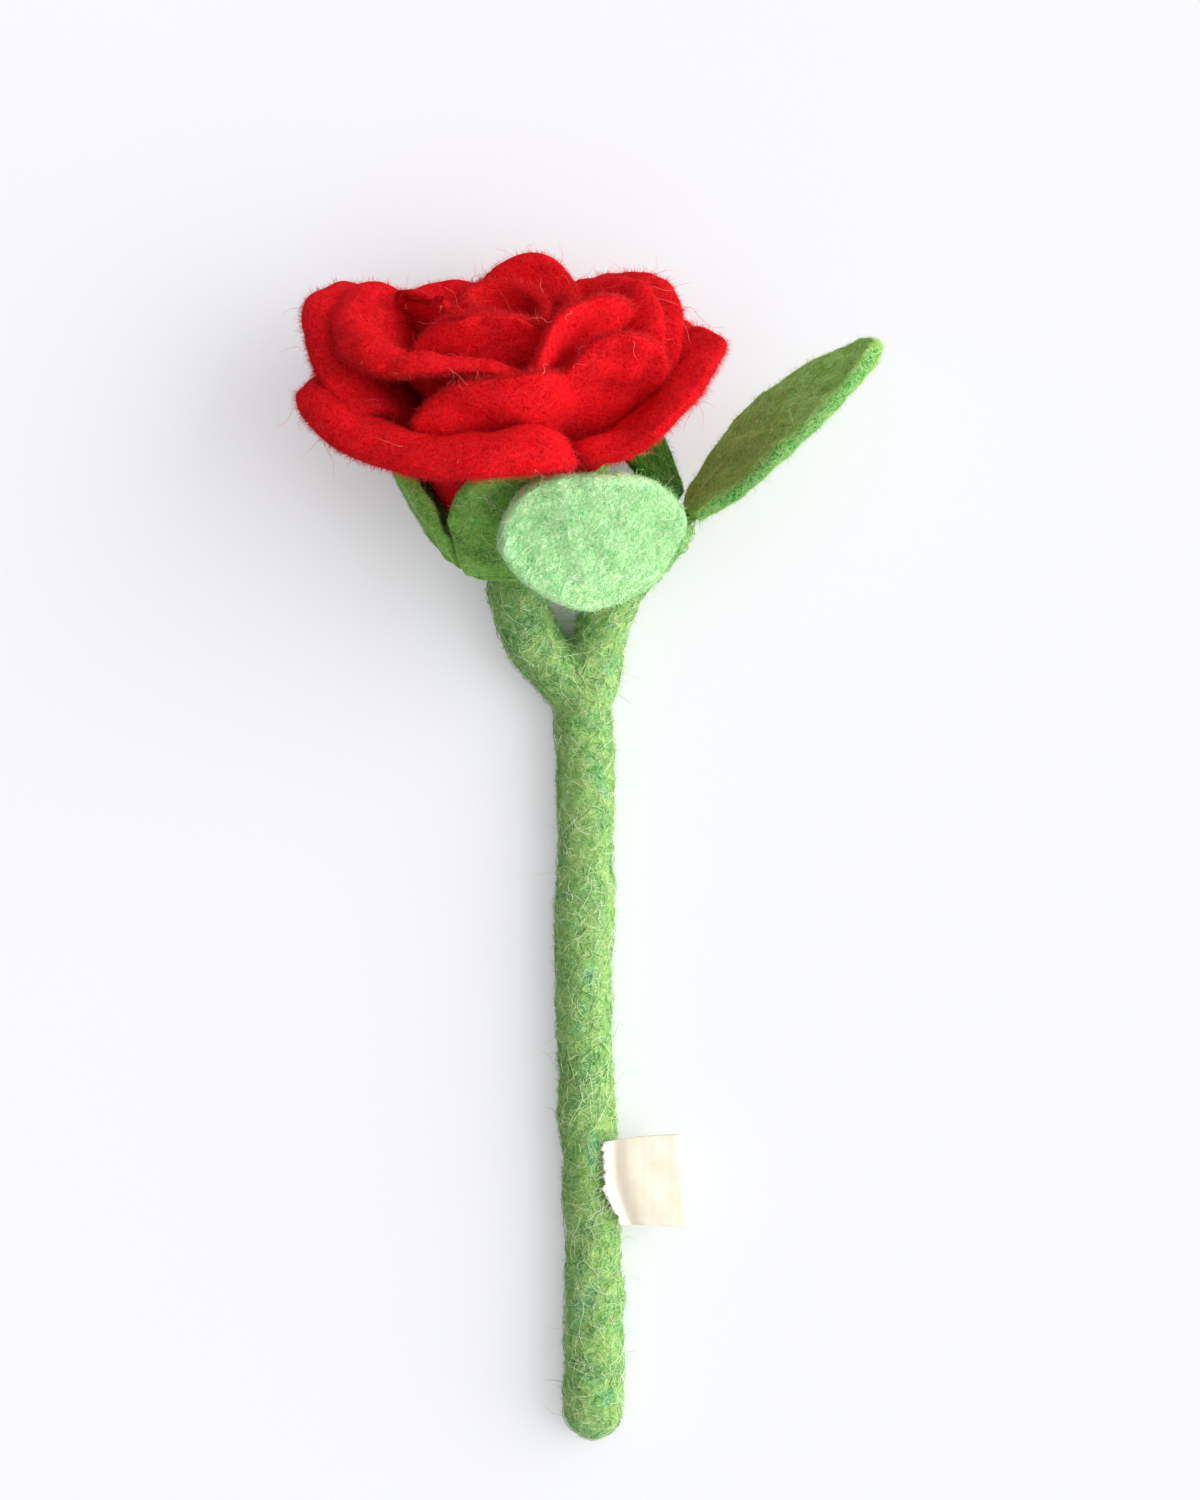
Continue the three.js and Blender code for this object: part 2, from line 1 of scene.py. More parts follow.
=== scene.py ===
"""Felt rose lying on a pale table: the looks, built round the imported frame.

Lengths are in millimetres until a mesh is made. On a felt sheet u runs from -1 to 1 across and v from 0 to 1
along, as in the solids that the sheets replace.
"""

import json
import math

import bpy
import numpy as np
from mathutils import Euler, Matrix
from mathutils.bvhtree import BVHTree


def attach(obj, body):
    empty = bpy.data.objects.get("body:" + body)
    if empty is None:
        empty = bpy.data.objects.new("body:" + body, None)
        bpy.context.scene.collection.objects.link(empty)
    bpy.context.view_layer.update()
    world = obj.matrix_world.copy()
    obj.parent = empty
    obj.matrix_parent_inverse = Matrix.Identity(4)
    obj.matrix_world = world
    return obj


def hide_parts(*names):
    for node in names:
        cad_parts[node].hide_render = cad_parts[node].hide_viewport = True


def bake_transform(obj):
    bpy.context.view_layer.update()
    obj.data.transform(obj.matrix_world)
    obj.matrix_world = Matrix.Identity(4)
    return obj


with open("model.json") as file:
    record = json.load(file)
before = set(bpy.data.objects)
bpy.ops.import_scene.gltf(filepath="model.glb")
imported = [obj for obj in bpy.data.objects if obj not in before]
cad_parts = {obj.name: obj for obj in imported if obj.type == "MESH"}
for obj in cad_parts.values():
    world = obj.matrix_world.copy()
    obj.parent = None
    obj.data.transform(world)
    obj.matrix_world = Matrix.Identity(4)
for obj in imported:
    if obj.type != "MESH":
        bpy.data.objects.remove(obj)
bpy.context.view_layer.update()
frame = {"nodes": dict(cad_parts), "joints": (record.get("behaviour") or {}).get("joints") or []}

MM = 0.001

# Felt sheet, the gap between touching pieces, and the depth of the flat that the stem lies on
FELT = 2.6
GAP = 0.3
FLAT = 0.5

# Camera: straight above the table, with the photograph's frame
VIEW_CENTRE = (2.73, 69.3)
VIEW_HEIGHT = 850
VIEW_LONG_SIDE = 315
SENSOR = 36

# Light: a low wide sun from the right, and a bright room that is darker to the left
SUN_STRENGTH = 2.9
SUN_SPREAD = 70
SUN_RISE = 28
SUN_TURN = 4
ROOM_STRENGTH = 0.6
ROOM_SLOPE = 0.65
BACKDROP_STRENGTH = 0.95
FLOOR_GLOW = 0.58
GLOW_REACH = 60
FLOOR_SPAN = 4000
ROOM_COLOUR = "#fdfdff"

# Stem: its line from foot to fork, how thick it is along the way, and its two branches
STEM_RADIUS = 5.8
STEM_DOWN = 68
STEM_UP = 78.5
STEM_WANDER = [1.4, 1.4, 0.25, -0.7, -0.3, -0.8]
STEM_RADII = [6.2, 6.1, 5.75, 5.6, 5.85, 5.6, 5.6, 6.05, 5.6, 6.0]
NECK_WAY = np.array([-14.2, 25.1, 3.7])
NECK_BENDS = [[0.27, 0.22, 0.08], [0.68, 0.51, 0.35], [0.9, 0.76, 0.73]]
NECK_RADII = [6.0, 6.0, 5.6]
BRANCH_WAY = np.array([17.5, 35.4, 10.2])
BRANCH_BENDS = [
    [0.1, 0.16, 0.03], [0.18, 0.33, 0.12], [0.26, 0.52, 0.26], [0.41, 0.68, 0.46], [0.69, 0.85, 0.76],
]
BRANCH_RADII = [5.6, 5.5, 5.2]
STEM_SIDES = 28
STEM_STEP = 1.5
STEM_VOXEL = 0.8
STEM_EASE = 6
STEM_EASE_SHARE = 0.5

# Ropes: steps between two points of a line, angles of the rings of a domed end, and a direction that no rope
# takes
LINE_STEPS = 24
DOME = (85, 65, 45, 22)
ROPE_ASLANT = np.array([0.21, 0.13, 0.97])

# Bloom: its tilt, and what the petals are sewn to
BLOOM_RISE = 28
BLOOM_LEAN = 1.5
DISC_RADIUS = 12
DISC_ROUNDING = 1.0
CORE_FOOT_RADIUS = 8.4
CORE_TOP_RADIUS = 4.2
CORE_HEIGHT = 36
CORE_STEP = 2
CORE_SIDES = 32

# Rings of petals: the height of their feet on the core, the point that their curves run by above it, and
# how far in and over the rim the curves come before they roll outward
INNER = dict(foot=28, low_out=9.5, low=38, back=5, over=9)
MIDDLE = dict(foot=20, low_out=12, low=30, back=9, over=15)
FRONT = dict(foot=12, low_out=12, low=24, back=2, over=10)
UPRIGHT = dict(foot=12, low_out=14, low=24, back=12, over=12)
FLARED = dict(foot=4.5, low_out=16, low=22, back=9, over=16)
SIDE = dict(foot=4.5, low_out=15, low=20, back=18, over=3)
BACK = dict(foot=4.5, low_out=15, low=20, back=12, over=6)
CALYX = dict(foot=0.5, low_out=16.5, low=3.5, back=4, over=-6)

# Petals and sepals: name, ring and points of the rim, each its angle round the bloom from the right side to
# the front, its distance from the bloom axis, its height above the calyx disc and its share of the ring's
# roll outward
PETALS = [
    ("inner_right", INNER, [
        (-40, 13.2, 50, -0.4), (-28, 13, 53, -0.4), (-12, 13.2, 54.5, -0.4), (8, 13.6, 54.5, -0.4),
        (26, 14, 53.5, -0.4), (38, 14.2, 51, -0.4)]),
    ("inner_front", INNER, [
        (46, 13.4, 49.5, -0.2), (56, 12.6, 53.2, -0.2), (75, 11.4, 55.5, -0.2), (95, 11.2, 56.2, -0.2),
        (115, 12, 56.2, -0.2), (135, 14.8, 55, 0), (147, 17, 53, 0), (158, 20.5, 48, 0)]),
    ("inner_left", INNER, [
        (128, 9.8, 51.5, 0), (146, 10.5, 54.4, 0), (167, 13, 55.4, 0.1), (182, 16.8, 55.2, 0.2),
        (193, 20.5, 54.2, 0.3), (202, 24.5, 51.5, 0.3), (209, 27, 47.5, 0.3)]),
    ("inner_back", INNER, [
        (234, 14, 50.5, 0), (248, 13.4, 53.8, 0), (264, 13.1, 55.8, 0.1), (283, 14.2, 57, 0.1),
        (303, 15.8, 57.4, 0.1), (316, 17.2, 55.2, 0.1), (328, 18.3, 51.5, 0)]),
    ("middle_right", MIDDLE, [
        (-2, 26, 50.5, 0), (6, 24.2, 54.6, 0), (17, 21, 57.4, -0.1), (30, 18.2, 57.6, -0.1),
        (45, 16.8, 57, -0.1), (57, 16.8, 55, -0.1), (68, 18.4, 51, -0.1), (79, 20.2, 45.5, -0.1)]),
    ("middle_left", MIDDLE, [
        (68, 16.2, 41.5, 0.2), (82, 18.2, 44.6, 0.4), (106, 20.2, 46.6, 0.5), (128, 24.2, 46.8, 0.6),
        (143, 28.8, 45.8, 0.7), (153, 32, 46.8, 0.8), (163, 34, 47.4, 0.9), (174, 34.6, 48.8, 0.9),
        (186, 34.4, 50, 0.9), (199, 32, 50.4, 0.8), (210, 29, 48, 0.6)]),
    ("middle_back", MIDDLE, [
        (206, 26.5, 44, 0.3), (217, 24.5, 48.4, 0.3), (227, 22.8, 50.6, 0.3), (237, 21, 51.2, 0.3),
        (248, 20, 50, 0.3), (263, 19.5, 48, 0.2), (279, 19.5, 45, 0.2)]),
    ("middle_back_right", MIDDLE, [
        (294, 20, 45.5, 0.2), (314, 23.2, 50.4, 0.3), (331, 26.2, 51.8, 0.3), (346, 28.8, 52.4, 0.3),
        (356, 30.6, 50.6, 0.3), (364, 31.6, 47.8, 0.3), (371, 32, 43.5, 0.3)]),
    ("upright_front", FRONT, [
        (16, 34, 42, -0.4), (20.5, 32.6, 48.6, -0.6), (26, 29.8, 51.8, -0.7), (33, 26.2, 53, -0.7),
        (40, 24.2, 52.4, -0.7), (47, 23.2, 50.6, -0.7), (53, 22.2, 48, -0.7), (59, 21.6, 46, -0.7),
        (65, 22.2, 47.2, -0.7), (73, 23.2, 48.2, -0.7), (85, 23.6, 48, -0.7), (100, 23.8, 47.4, -0.7),
        (113, 24.6, 46.2, -0.7), (124, 26.4, 43, -0.6), (133, 28.6, 37.4, -0.5)]),
    ("upright_left", UPRIGHT, [
        (150, 34, 34.5, 0.7), (163, 37.4, 40, 0.8), (175, 39.4, 44.4, 0.8), (186, 40.4, 48, 0.8),
        (197, 40, 50.4, 0.8), (208, 38, 50.6, 0.7), (222, 32.5, 46, 0.5)]),
    ("upright_back", UPRIGHT, [
        (220, 31.5, 40, 0.3), (238, 32, 43.6, 0.4), (262, 32, 44.6, 0.4), (284, 32.4, 44.6, 0.4),
        (300, 31, 41.5, 0.3)]),
    ("upright_right", UPRIGHT, [
        (297, 31, 42.5, 0.3), (308, 32.3, 47, 0.4), (318, 34, 49.2, 0.4), (328, 35.6, 50, 0.4),
        (340, 36, 50, 0.4), (350, 36, 47.6, 0.4), (361, 35.4, 43.8, 0.4), (372, 34, 38, 0.3)]),
    ("flared_front", FLARED, [
        (63, 28.5, 27.6, 1), (69, 30.8, 29.2, 1), (79, 33, 30.7, 1), (92, 34.4, 31.2, 1),
        (106, 34.8, 30.6, 1), (124, 36.8, 30.8, 1), (144, 40.2, 32.6, 0.9), (155, 42.2, 35, 0.8),
        (165, 42.8, 36.8, 0.7), (175, 39.5, 37, 0.6)]),
    ("flared_right", SIDE, [
        (-12, 36.5, 43.5, 0.2), (-4, 40.6, 44.8, 0.3), (3.5, 44.4, 45, 0.4), (10, 43.4, 43, 0.5),
        (19, 42.2, 40.8, 0.5), (28, 41, 38.2, 0.6), (38, 39, 34.8, 0.7), (48, 35.6, 31.6, 0.8),
        (59, 30, 29, 0.8)]),
    ("flared_back_left", BACK, [
        (190, 40, 34, 0.6), (204, 41.5, 36.5, 1), (232, 41.5, 36.5, 1), (258, 40.5, 36, 1),
        (274, 39, 33, 0.6)]),
    ("flared_back_right", BACK, [
        (264, 39, 33, 0.6), (282, 40.5, 36.5, 1), (306, 41.5, 38, 1), (332, 41.5, 40, 1),
        (346, 40.5, 39, 0.6)]),
]
PETAL_SHAPE = dict(foot_share=0.5, full_at=0.7, rounding=0.15)
SEPALS = [
    ("left", CALYX, [
        (133, 19.5, 8, 1), (141, 21.4, 14, 1), (150, 23.4, 20, 1), (172, 25, 25, 1), (200, 22.4, 23.4, 1),
        (213, 21, 19, 1)]),
    ("front", CALYX, [
        (55, 19.4, 19, 1), (67, 19.8, 23, 1), (90, 20.4, 25.5, 1), (108, 20.4, 24.2, 1),
        (120, 20.4, 20.6, 1), (132, 20.2, 13, 1)]),
    ("right", CALYX, [
        (-9, 20, 19, 1), (2, 20, 22.6, 1), (22, 20, 24.5, 1), (42, 20, 22.6, 1), (53, 20, 19, 1)]),
    ("back_right", CALYX, [
        (279, 20, 19, 1), (291, 20, 22.6, 1), (314, 20, 24.5, 1), (338, 20, 22.6, 1), (349, 20, 19, 1)]),
    ("back_left", CALYX, [
        (215, 20, 19, 1), (226, 20, 22.6, 1), (246, 20, 24.5, 1), (266, 20, 22.6, 1), (277, 20, 19, 1)]),
]
SEPAL_SHAPE = dict(foot_share=0.98, full_at=0.7, rounding=0.2)
PETAL_THICK = 3.2
SEPAL_THICK = 2.8

# Where a petal is measured across to set its grid, and in how many steps
SPAN_AT = 0.85
SPAN_STEPS = 60

# Bud: a felt strip rolled up on top of the core
BUD_TURNS = 1.1
BUD_HEIGHT = 18
BUD_HOLLOW = 2.2
BUD_PITCH = 4.4
BUD_START = 69
BUD_SIDE = -1
BUD_STRETCH = 1.3
BUD_TIP = 0.12
BUD_NOD = 0.3
BUD_WIDTH = 40
BUD_ROUNDING = 0.08

# Leaflets: blade sizes, and how each is turned, raised and rolled at its joint
LEAVES = [
    dict(name="front", length=42.3, width=30.5, foot=8, heel=0.6, arch=4, cup=1, point=0.45,
         turn=172.5, raised=33.6, roll=26, edge_side=1, edge_from=(0.86, 0.97)),
    # The right leaflet's edge band is a painted lit edge
    dict(name="right", length=52.8, width=24, foot=8.5, heel=1.2, arch=1.5, cup=2, point=0.8,
         turn=41.5, raised=6.8, roll=61, edge_side=-1, edge_from=(0.88, 0.96)),
    dict(name="back", length=26, width=17, foot=6, heel=1, arch=1, cup=1, point=0.6,
         turn=118, raised=-12.2, roll=-62, edge_side=1, edge_from=(0.9, 1)),
]
LEAF_THICK = 3.2
LEAF_TIP = 3
LEAF_WIDEST = 0.45
LEAF_ROUNDING = 0.2

# Label: a ribbon folded in two and sewn to the stem by its cut ends. The seam slants as the stem turns away,
# and the ribbon narrows and creases at it.
RIBBON = 0.4
LABEL_WIDTH = 19.6
LABEL_REACH = 16
LABEL_OPEN = 1.6
LABEL_DROOP = 8
LABEL_SKEW = 7
LABEL_SEAM_WIDTH = 0.9
LABEL_SLANT = (-3.4, 1.6)
LABEL_SAG = (0.2, 1.6)
LABEL_CREASE = 2.6
LABEL_CREST = 5.4
LABEL_WAVE = 0.24
LABEL_CUT = 2.6
LABEL_FRAY = (1.6, 0.4)
LABEL_STEP = 0.45
LABEL_STEPS = 40
LABEL_FOLD_STEPS = 16
LABEL_PARTING = 0.7
LABEL_CREST_WIDTH = 2
LABEL_CREASE_WIDTH = 1.1
LABEL_ROUNDING = 0.02
LABEL_CUT_CLEAN = 0.4
LABEL_THREADS = dict(length=(1.0, 3.2), lean=(40, 88), curl=0.9, radius=0.1, segments=4, lift=0.3, sink=0.25)
LABEL_THREAD_COUNT = 90
LABEL_THREAD_ACROSS = 0.97
LABEL_THREAD_ALONG = 0.004
LABEL_THREAD_WAY = np.array([-1, 0.5, 0])

# How finely the felt is drawn, and its unevenness: size across and height of the lumps
GRID_STEP = 1.1
RIM_STEPS = 5
LUMP_WAVES = 9
LUMP_SPREAD = (0.7, 1.6)
WAVER = (17, 0.55)
BUD_WAVER = (17, 0.25)
DISC_WAVER = (17, 0.2)
LABEL_WAVER = (9, 0.08)
LABEL_CUT_WAVER = (1.5, 0.3)
STEM_LUMPS = [(9, 0.22), (3.5, 0.16)]
DENTS = (6, 0.09)
FIRST_SEED = 100
SEED_STEP = 10

# How felt bends up where it meets the table, and what it and its fibres keep clear of it
TABLE_NEAR = 8
TABLE_EASE = 3.0
TABLE_CLEAR = 0.02
FIBRE_CLEAR = 0.05

# Loose fibres. Of each kind: its length, its lean from upright in degrees, how much it curls, its radius and
# its parts along; how pale the palest is, how much the curl lifts and how deep the root is; how far in from a
# rim it grows in full, and how high it arches where it lies on the felt.
TINTS = 12
PALE = 0.75
SHORT = dict(radius=0.045, segments=1, pale=PALE, lift=0.4, sink=0.2, inward=0, loft=0)
NAP = dict(length=(0.6, 1.6), lean=(5, 70), curl=0.35, **SHORT)
DOWN = dict(length=(0.8, 2.2), lean=(5, 65), curl=0.5, **SHORT)
LYING = dict(length=(2.5, 6.5), lean=(76, 88), curl=0.9, radius=0.06, segments=4,
             pale=1.0, lift=-0.2, sink=0.05, inward=5, loft=0.3)
CURLED = dict(length=(3.0, 8.0), lean=(79, 89), curl=1.6, radius=0.08, segments=6,
              pale=1.0, lift=0, sink=0.02, inward=0, loft=0.6)
LONG = dict(length=(4.0, 10.0), lean=(83, 89), curl=0.3, radius=0.055, segments=4,
            pale=1.0, lift=0, sink=0.02, inward=3, loft=0.25)
STRAY = dict(length=(3.0, 7.0), lean=(30, 88), curl=1.1, radius=0.055, segments=6,
             pale=1.0, lift=0.4, sink=0.25, inward=0, loft=0)

# Fibres that bind each leaflet's foot to the branch, and how far across and along the foot they start
BINDING = dict(length=(4.0, 9.0), lean=(0, 40), curl=0.6, radius=0.07, segments=5, lift=0, sink=0)
BINDING_COUNT = 140
BINDING_ACROSS = 0.8
BINDING_ALONG = 0.06

# How fibres of one kind differ, how they bow, sway and taper, and a direction that none takes
CURL_SPREAD = (0.6, 1.4)
LENGTH_SPREAD = (0.5, 1)
TINT_SPREAD = (0.45, 0.28)
TINT_CELL = (0.1, 0.9)
FIBRE_BOW = 0.7
FIBRE_SWAY = 0.16
FIBRE_SWAYS = 7
FIBRE_TAPER = 0.7
FIBRE_ASLANT = np.array([0.31, 0.52, 0.79])

# How many fibres of each kind to a square millimetre
PETAL_FUZZ = [(DOWN, 6.0), (STRAY, 0.05)]
SEPAL_FUZZ = [(NAP, 3.0), (LYING, 0.5), (STRAY, 0.02)]
LEAF_FUZZ = [(DOWN, 4.5), (LYING, 0.8), (LONG, 2.4), (STRAY, 0.02)]
STEM_FUZZ = [(DOWN, 1.2), (CURLED, 0.36), (STRAY, 0.018)]

# How thickly they grow on the faces, how much more so at the rim and how far in that reaches; and where above
# the bare foot of a petal or sepal they come in
PETAL_RIM = (0.4, 6.0, 1.0)
BUD_RIM = (0.2, 6.0, 1.0)
SEPAL_RIM = (0.6, 2.0, 1.5)
LEAF_RIM = (0.8, 1.6, 1.5)
BARE_FOOT = (0.1, 0.6)

# Felt's look: clouds and patches of colour, pores darkened with painted shade, and fibres that cross
CLOUD_SIZE = 7
CLOUD_SHARE = 0.65
CLOUD_RANGE = (0.34, 0.66)
PATCH_SIZE = 1.1
PATCH_DETAIL = 4
PATCH_SHARE = 0.35
PATCH_HEIGHT = 0.8
# Pores: pits in the nap, bumped down and darkened with painted shade
PORE_SIZE = 0.6
PORE_DETAIL = 2
PORE_RANGE = (0.34, 0.46)
PORE_SHADE_TONE = {"Saturation": 1.1, "Value": 0.35}
PORE_HEIGHT = 0.5
FIBRE_TURNS = [(0, 10, 25), (0, 55, 95), (60, 0, 150), (35, -40, 60)]
FIBRE_LONG = 5.0
FIBRE_WIDE = 1.1
FIBRE_LINE = 0.05
FIBRE_BANDS = {"Scale": 1, "Detail": 1.5, "Distortion": 1.2}
FIBRE_HEIGHT = 0.25
NOISE_MIDDLE = 0.5
NAP_STRENGTH = 0.7
NAP_DEPTH = 0.6
FELT_ROUGHNESS = (0.98, 0.85)
FELT_SHINE = 0.02
FELT_SHEEN = {"Sheen Weight": 0.2, "Sheen Roughness": 0.5}
TIP_TONE = {"Saturation": 0.95, "Value": 1.2}
TIP_ROUGHNESS = 0.85

# Wire's look: marks along plain drawn steel
WIRE_MARKS = 0.8
WIRE_ROUGHNESS = (0.3, 0.5)

# Ribbon's look: the length of a radian of its ribs, the same in the texture's own units, and its gloss
WEAVE = 0.3
WAVE_UNIT = 0.05
WEAVE_DISTORTION = 1.5
WEAVE_STRENGTH = 0.12
WEAVE_DEPTH = 0.1
SATIN_CLOUD = 5
SATIN_DETAIL = 2
SATIN_ROUGHNESS = (0.42, 0.55)
SATIN_GLOSS = {"Specular IOR Level": 0.4, "Sheen Weight": 0.15}

# Floor's look: matt paper
PAPER_SIZE = 60
PAPER_DETAIL = 2
PAPER_GLOSS = {"Roughness": 0.9, "Specular IOR Level": 0.1}
GLOW_SAMPLES = 4


def mix(a, b, share):
    return a + (b - a) * share


def smooth(x, low=0.0, high=1.0):
    t = np.clip((x - low) / (high - low), 0, 1)
    return t * t * (3 - 2 * t)


def unit(vectors):
    return vectors / np.maximum(np.linalg.norm(vectors, axis=-1, keepdims=True), 1e-9)


def turned(x, y, z):
    """Rotation about x, then y, then z, in degrees."""
    return np.array(Euler([math.radians(v) for v in (x, y, z)], "XYZ").to_matrix())


def lumps(points, seed, size):
    """A smooth uneven field of about -1 to 1, its lumps about that far apart."""
    rng = np.random.default_rng(seed)
    ways = unit(rng.normal(size=(LUMP_WAVES, 3)))
    pitch = 2 * np.pi / (size * rng.uniform(*LUMP_SPREAD, LUMP_WAVES))
    phase = rng.uniform(0, 2 * np.pi, LUMP_WAVES)
    waves = np.sin(points @ (ways.T * pitch) + phase)
    return waves.sum(-1) / math.sqrt(LUMP_WAVES)


def above_table(points, rest):
    """Points that would go below that height bend up to lie on the table."""
    depth = points[..., 2] - rest
    raised = points.copy()
    ease = TABLE_EASE * TABLE_EASE * smooth(-depth, -TABLE_NEAR, 0)
    raised[..., 2] = rest + (depth + np.sqrt(depth * depth + ease)) / 2
    return raised


# Camera and light
def colour(code):
    """A colour written as #rrggbb, as the linear values that nodes take."""
    parts = [int(code[k:k + 2], 16) / 255 for k in (1, 3, 5)]
    return [c / 12.92 if c <= 0.04045 else ((c + 0.055) / 1.055) ** 2.4 for c in parts] + [1.0]


def add_object(name, data):
    made = bpy.data.objects.new(name, data)
    bpy.context.scene.collection.objects.link(made)
    return made


scene = bpy.context.scene
scene.view_settings.view_transform = "Standard"
lens = bpy.data.cameras.new("camera")
lens.sensor_width = SENSOR
lens.lens = SENSOR * VIEW_HEIGHT / VIEW_LONG_SIDE
lens.clip_end = 2 * FLOOR_SPAN * MM
camera = add_object("camera", lens)
camera.location = [v * MM for v in (*VIEW_CENTRE, VIEW_HEIGHT)]
scene.camera = camera

sun = bpy.data.lights.new("sun", "SUN")
sun.energy = SUN_STRENGTH
sun.angle = math.radians(SUN_SPREAD)
sun_lamp = add_object("sun", sun)
sun_lamp.rotation_euler = (0, math.radians(90 - SUN_RISE), math.radians(SUN_TURN))


def fill(tree, made, sockets):
    """Sets a node's sockets to values, or links them to other nodes' outputs."""
    for key, value in sockets.items():
        if isinstance(value, bpy.types.NodeSocket):
            tree.links.new(value, made.inputs[key])
        else:
            made.inputs[key].default_value = value


def node(tree, kind, sockets=None, **settings):
    """A node with its settings and sockets."""
    made = tree.nodes.new(kind)
    for key, value in settings.items():
        setattr(made, key, value)
    fill(tree, made, sockets or {})
    return made


def maths(tree, operation, a, b=0.0):
    return node(tree, "ShaderNodeMath", {0: a, 1: b}, operation=operation).outputs[0]


def weighted(tree, pairs):
    """The sum of values, each times its share."""
    total = None
    for value, share in pairs:
        part = maths(tree, "MULTIPLY", value, share)
        total = part if total is None else maths(tree, "ADD", total, part)
    return total


def ranged(tree, value, low, high, to_low=0.0, to_high=1.0):
    sockets = {"Value": value, "From Min": low, "From Max": high, "To Min": to_low, "To Max": to_high}
    return node(tree, "ShaderNodeMapRange", sockets).outputs["Result"]


def mixed(tree, share, a, b):
    return node(tree, "ShaderNodeMix", {0: share, 6: a, 7: b}, data_type="RGBA").outputs[2]


def stored(tree, key):
    """A value that the mesh's points carry."""
    return node(tree, "ShaderNodeAttribute", attribute_name=key).outputs["Fac"]


def ramp(tree, share, stops):
    made = node(tree, "ShaderNodeValToRGB", {"Fac": share})
    steps = made.color_ramp.elements
    while len(steps) < len(stops):
        steps.new(0.5)
    for step, (at, code) in zip(steps, stops):
        step.position = at
        step.color = colour(code)
    return made.outputs["Color"]


def noise(tree, place, size, detail=3.0):
    """Noise whose patches are about that many millimetres across."""
    sockets = {"Vector": place, "Scale": 1 / (size * MM), "Detail": detail}
    return node(tree, "ShaderNodeTexNoise", sockets).outputs["Fac"]


def new_material(name):
    material = bpy.data.materials.new(name)
    material.use_nodes = True
    tree = material.node_tree
    tree.nodes.clear()
    shader = node(tree, "ShaderNodeBsdfPrincipled")
    out = node(tree, "ShaderNodeOutputMaterial")
    tree.links.new(shader.outputs[0], out.inputs["Surface"])
    place = node(tree, "ShaderNodeTexCoord").outputs["Object"]
    return material, tree, shader, place


room = bpy.data.worlds.new("room")
room.use_nodes = True
walls = room.node_tree
walls.nodes.clear()
looking = node(walls, "ShaderNodeTexCoord").outputs["Generated"]
rightward = node(walls, "ShaderNodeSeparateXYZ", {"Vector": looking}).outputs["X"]
darker, brighter = (ROOM_STRENGTH * (1 + k * ROOM_SLOPE) for k in (-1, 1))
level = ranged(walls, rightward, -1, 1, darker, brighter)
glow = node(walls, "ShaderNodeBackground", {"Color": colour(ROOM_COLOUR), "Strength": level})
backdrop = node(walls, "ShaderNodeBackground", {"Color": colour(ROOM_COLOUR), "Strength": BACKDROP_STRENGTH})
ray = node(walls, "ShaderNodeLightPath").outputs
seen = maths(walls, "MAXIMUM", ray["Is Camera Ray"], ray["Is Glossy Ray"])
seen = maths(walls, "MAXIMUM", seen, ray["Is Transmission Ray"])
either = node(walls, "ShaderNodeMixShader", {0: seen, 1: glow.outputs[0], 2: backdrop.outputs[0]})
node(walls, "ShaderNodeOutputWorld", {"Surface": either.outputs[0]})
scene.world = room


def felt_material(name, stops, fibre, fibre_share, sheen, pore_shade_share, edge=None):
    """Wool felt: clouded colour, fine fibres that cross each other, pores darkened with painted shade and a
    soft uneven nap. An edge colour shows where the mesh's edge value is high."""
    material, tree, shader, place = new_material(name)
    cloud = noise(tree, place, CLOUD_SIZE)
    patch = noise(tree, place, PATCH_SIZE, PATCH_DETAIL)
    grain = noise(tree, place, PORE_SIZE, PORE_DETAIL)
    crossing = None
    for turn in FIBRE_TURNS:
        sockets = {
            "Vector": place,
            "Rotation": [math.radians(v) for v in turn],
            "Scale": [FIBRE_LONG * MM, FIBRE_WIDE * MM, FIBRE_WIDE * MM],
        }
        along = node(tree, "ShaderNodeMapping", sockets, vector_type="TEXTURE").outputs["Vector"]
        bands = node(tree, "ShaderNodeTexNoise", {"Vector": along, **FIBRE_BANDS}).outputs["Fac"]
        off_line = maths(tree, "ABSOLUTE", maths(tree, "SUBTRACT", bands, NOISE_MIDDLE))
        line = ranged(tree, off_line, 0, FIBRE_LINE, 1, 0)
        crossing = line if crossing is None else maths(tree, "MAXIMUM", crossing, line)
    blend = weighted(tree, [(cloud, CLOUD_SHARE), (patch, PATCH_SHARE)])
    base = ramp(tree, ranged(tree, blend, *CLOUD_RANGE), stops)
    if edge:
        base = mixed(tree, stored(tree, "edge"), base, colour(edge))
    # Painted shade: the colour is darkened in the pores' pits
    pore_shade = node(tree, "ShaderNodeHueSaturation", {"Color": base, **PORE_SHADE_TONE}).outputs["Color"]
    base = mixed(tree, ranged(tree, grain, *PORE_RANGE, pore_shade_share, 0), base, pore_shade)
    height = weighted(tree, [(patch, PATCH_HEIGHT), (crossing, FIBRE_HEIGHT), (grain, PORE_HEIGHT)])
    nap = {"Height": height, "Strength": NAP_STRENGTH, "Distance": NAP_DEPTH * MM}
    fill(tree, shader, {
        "Base Color": mixed(tree, maths(tree, "MULTIPLY", crossing, fibre_share), base, colour(fibre)),
        "Roughness": ranged(tree, crossing, 0, 1, *FELT_ROUGHNESS),
        "Normal": node(tree, "ShaderNodeBump", nap).outputs["Normal"],
        "Specular IOR Level": FELT_SHINE,
        "Sheen Tint": colour(sheen),
        **FELT_SHEEN,
    })
    return material


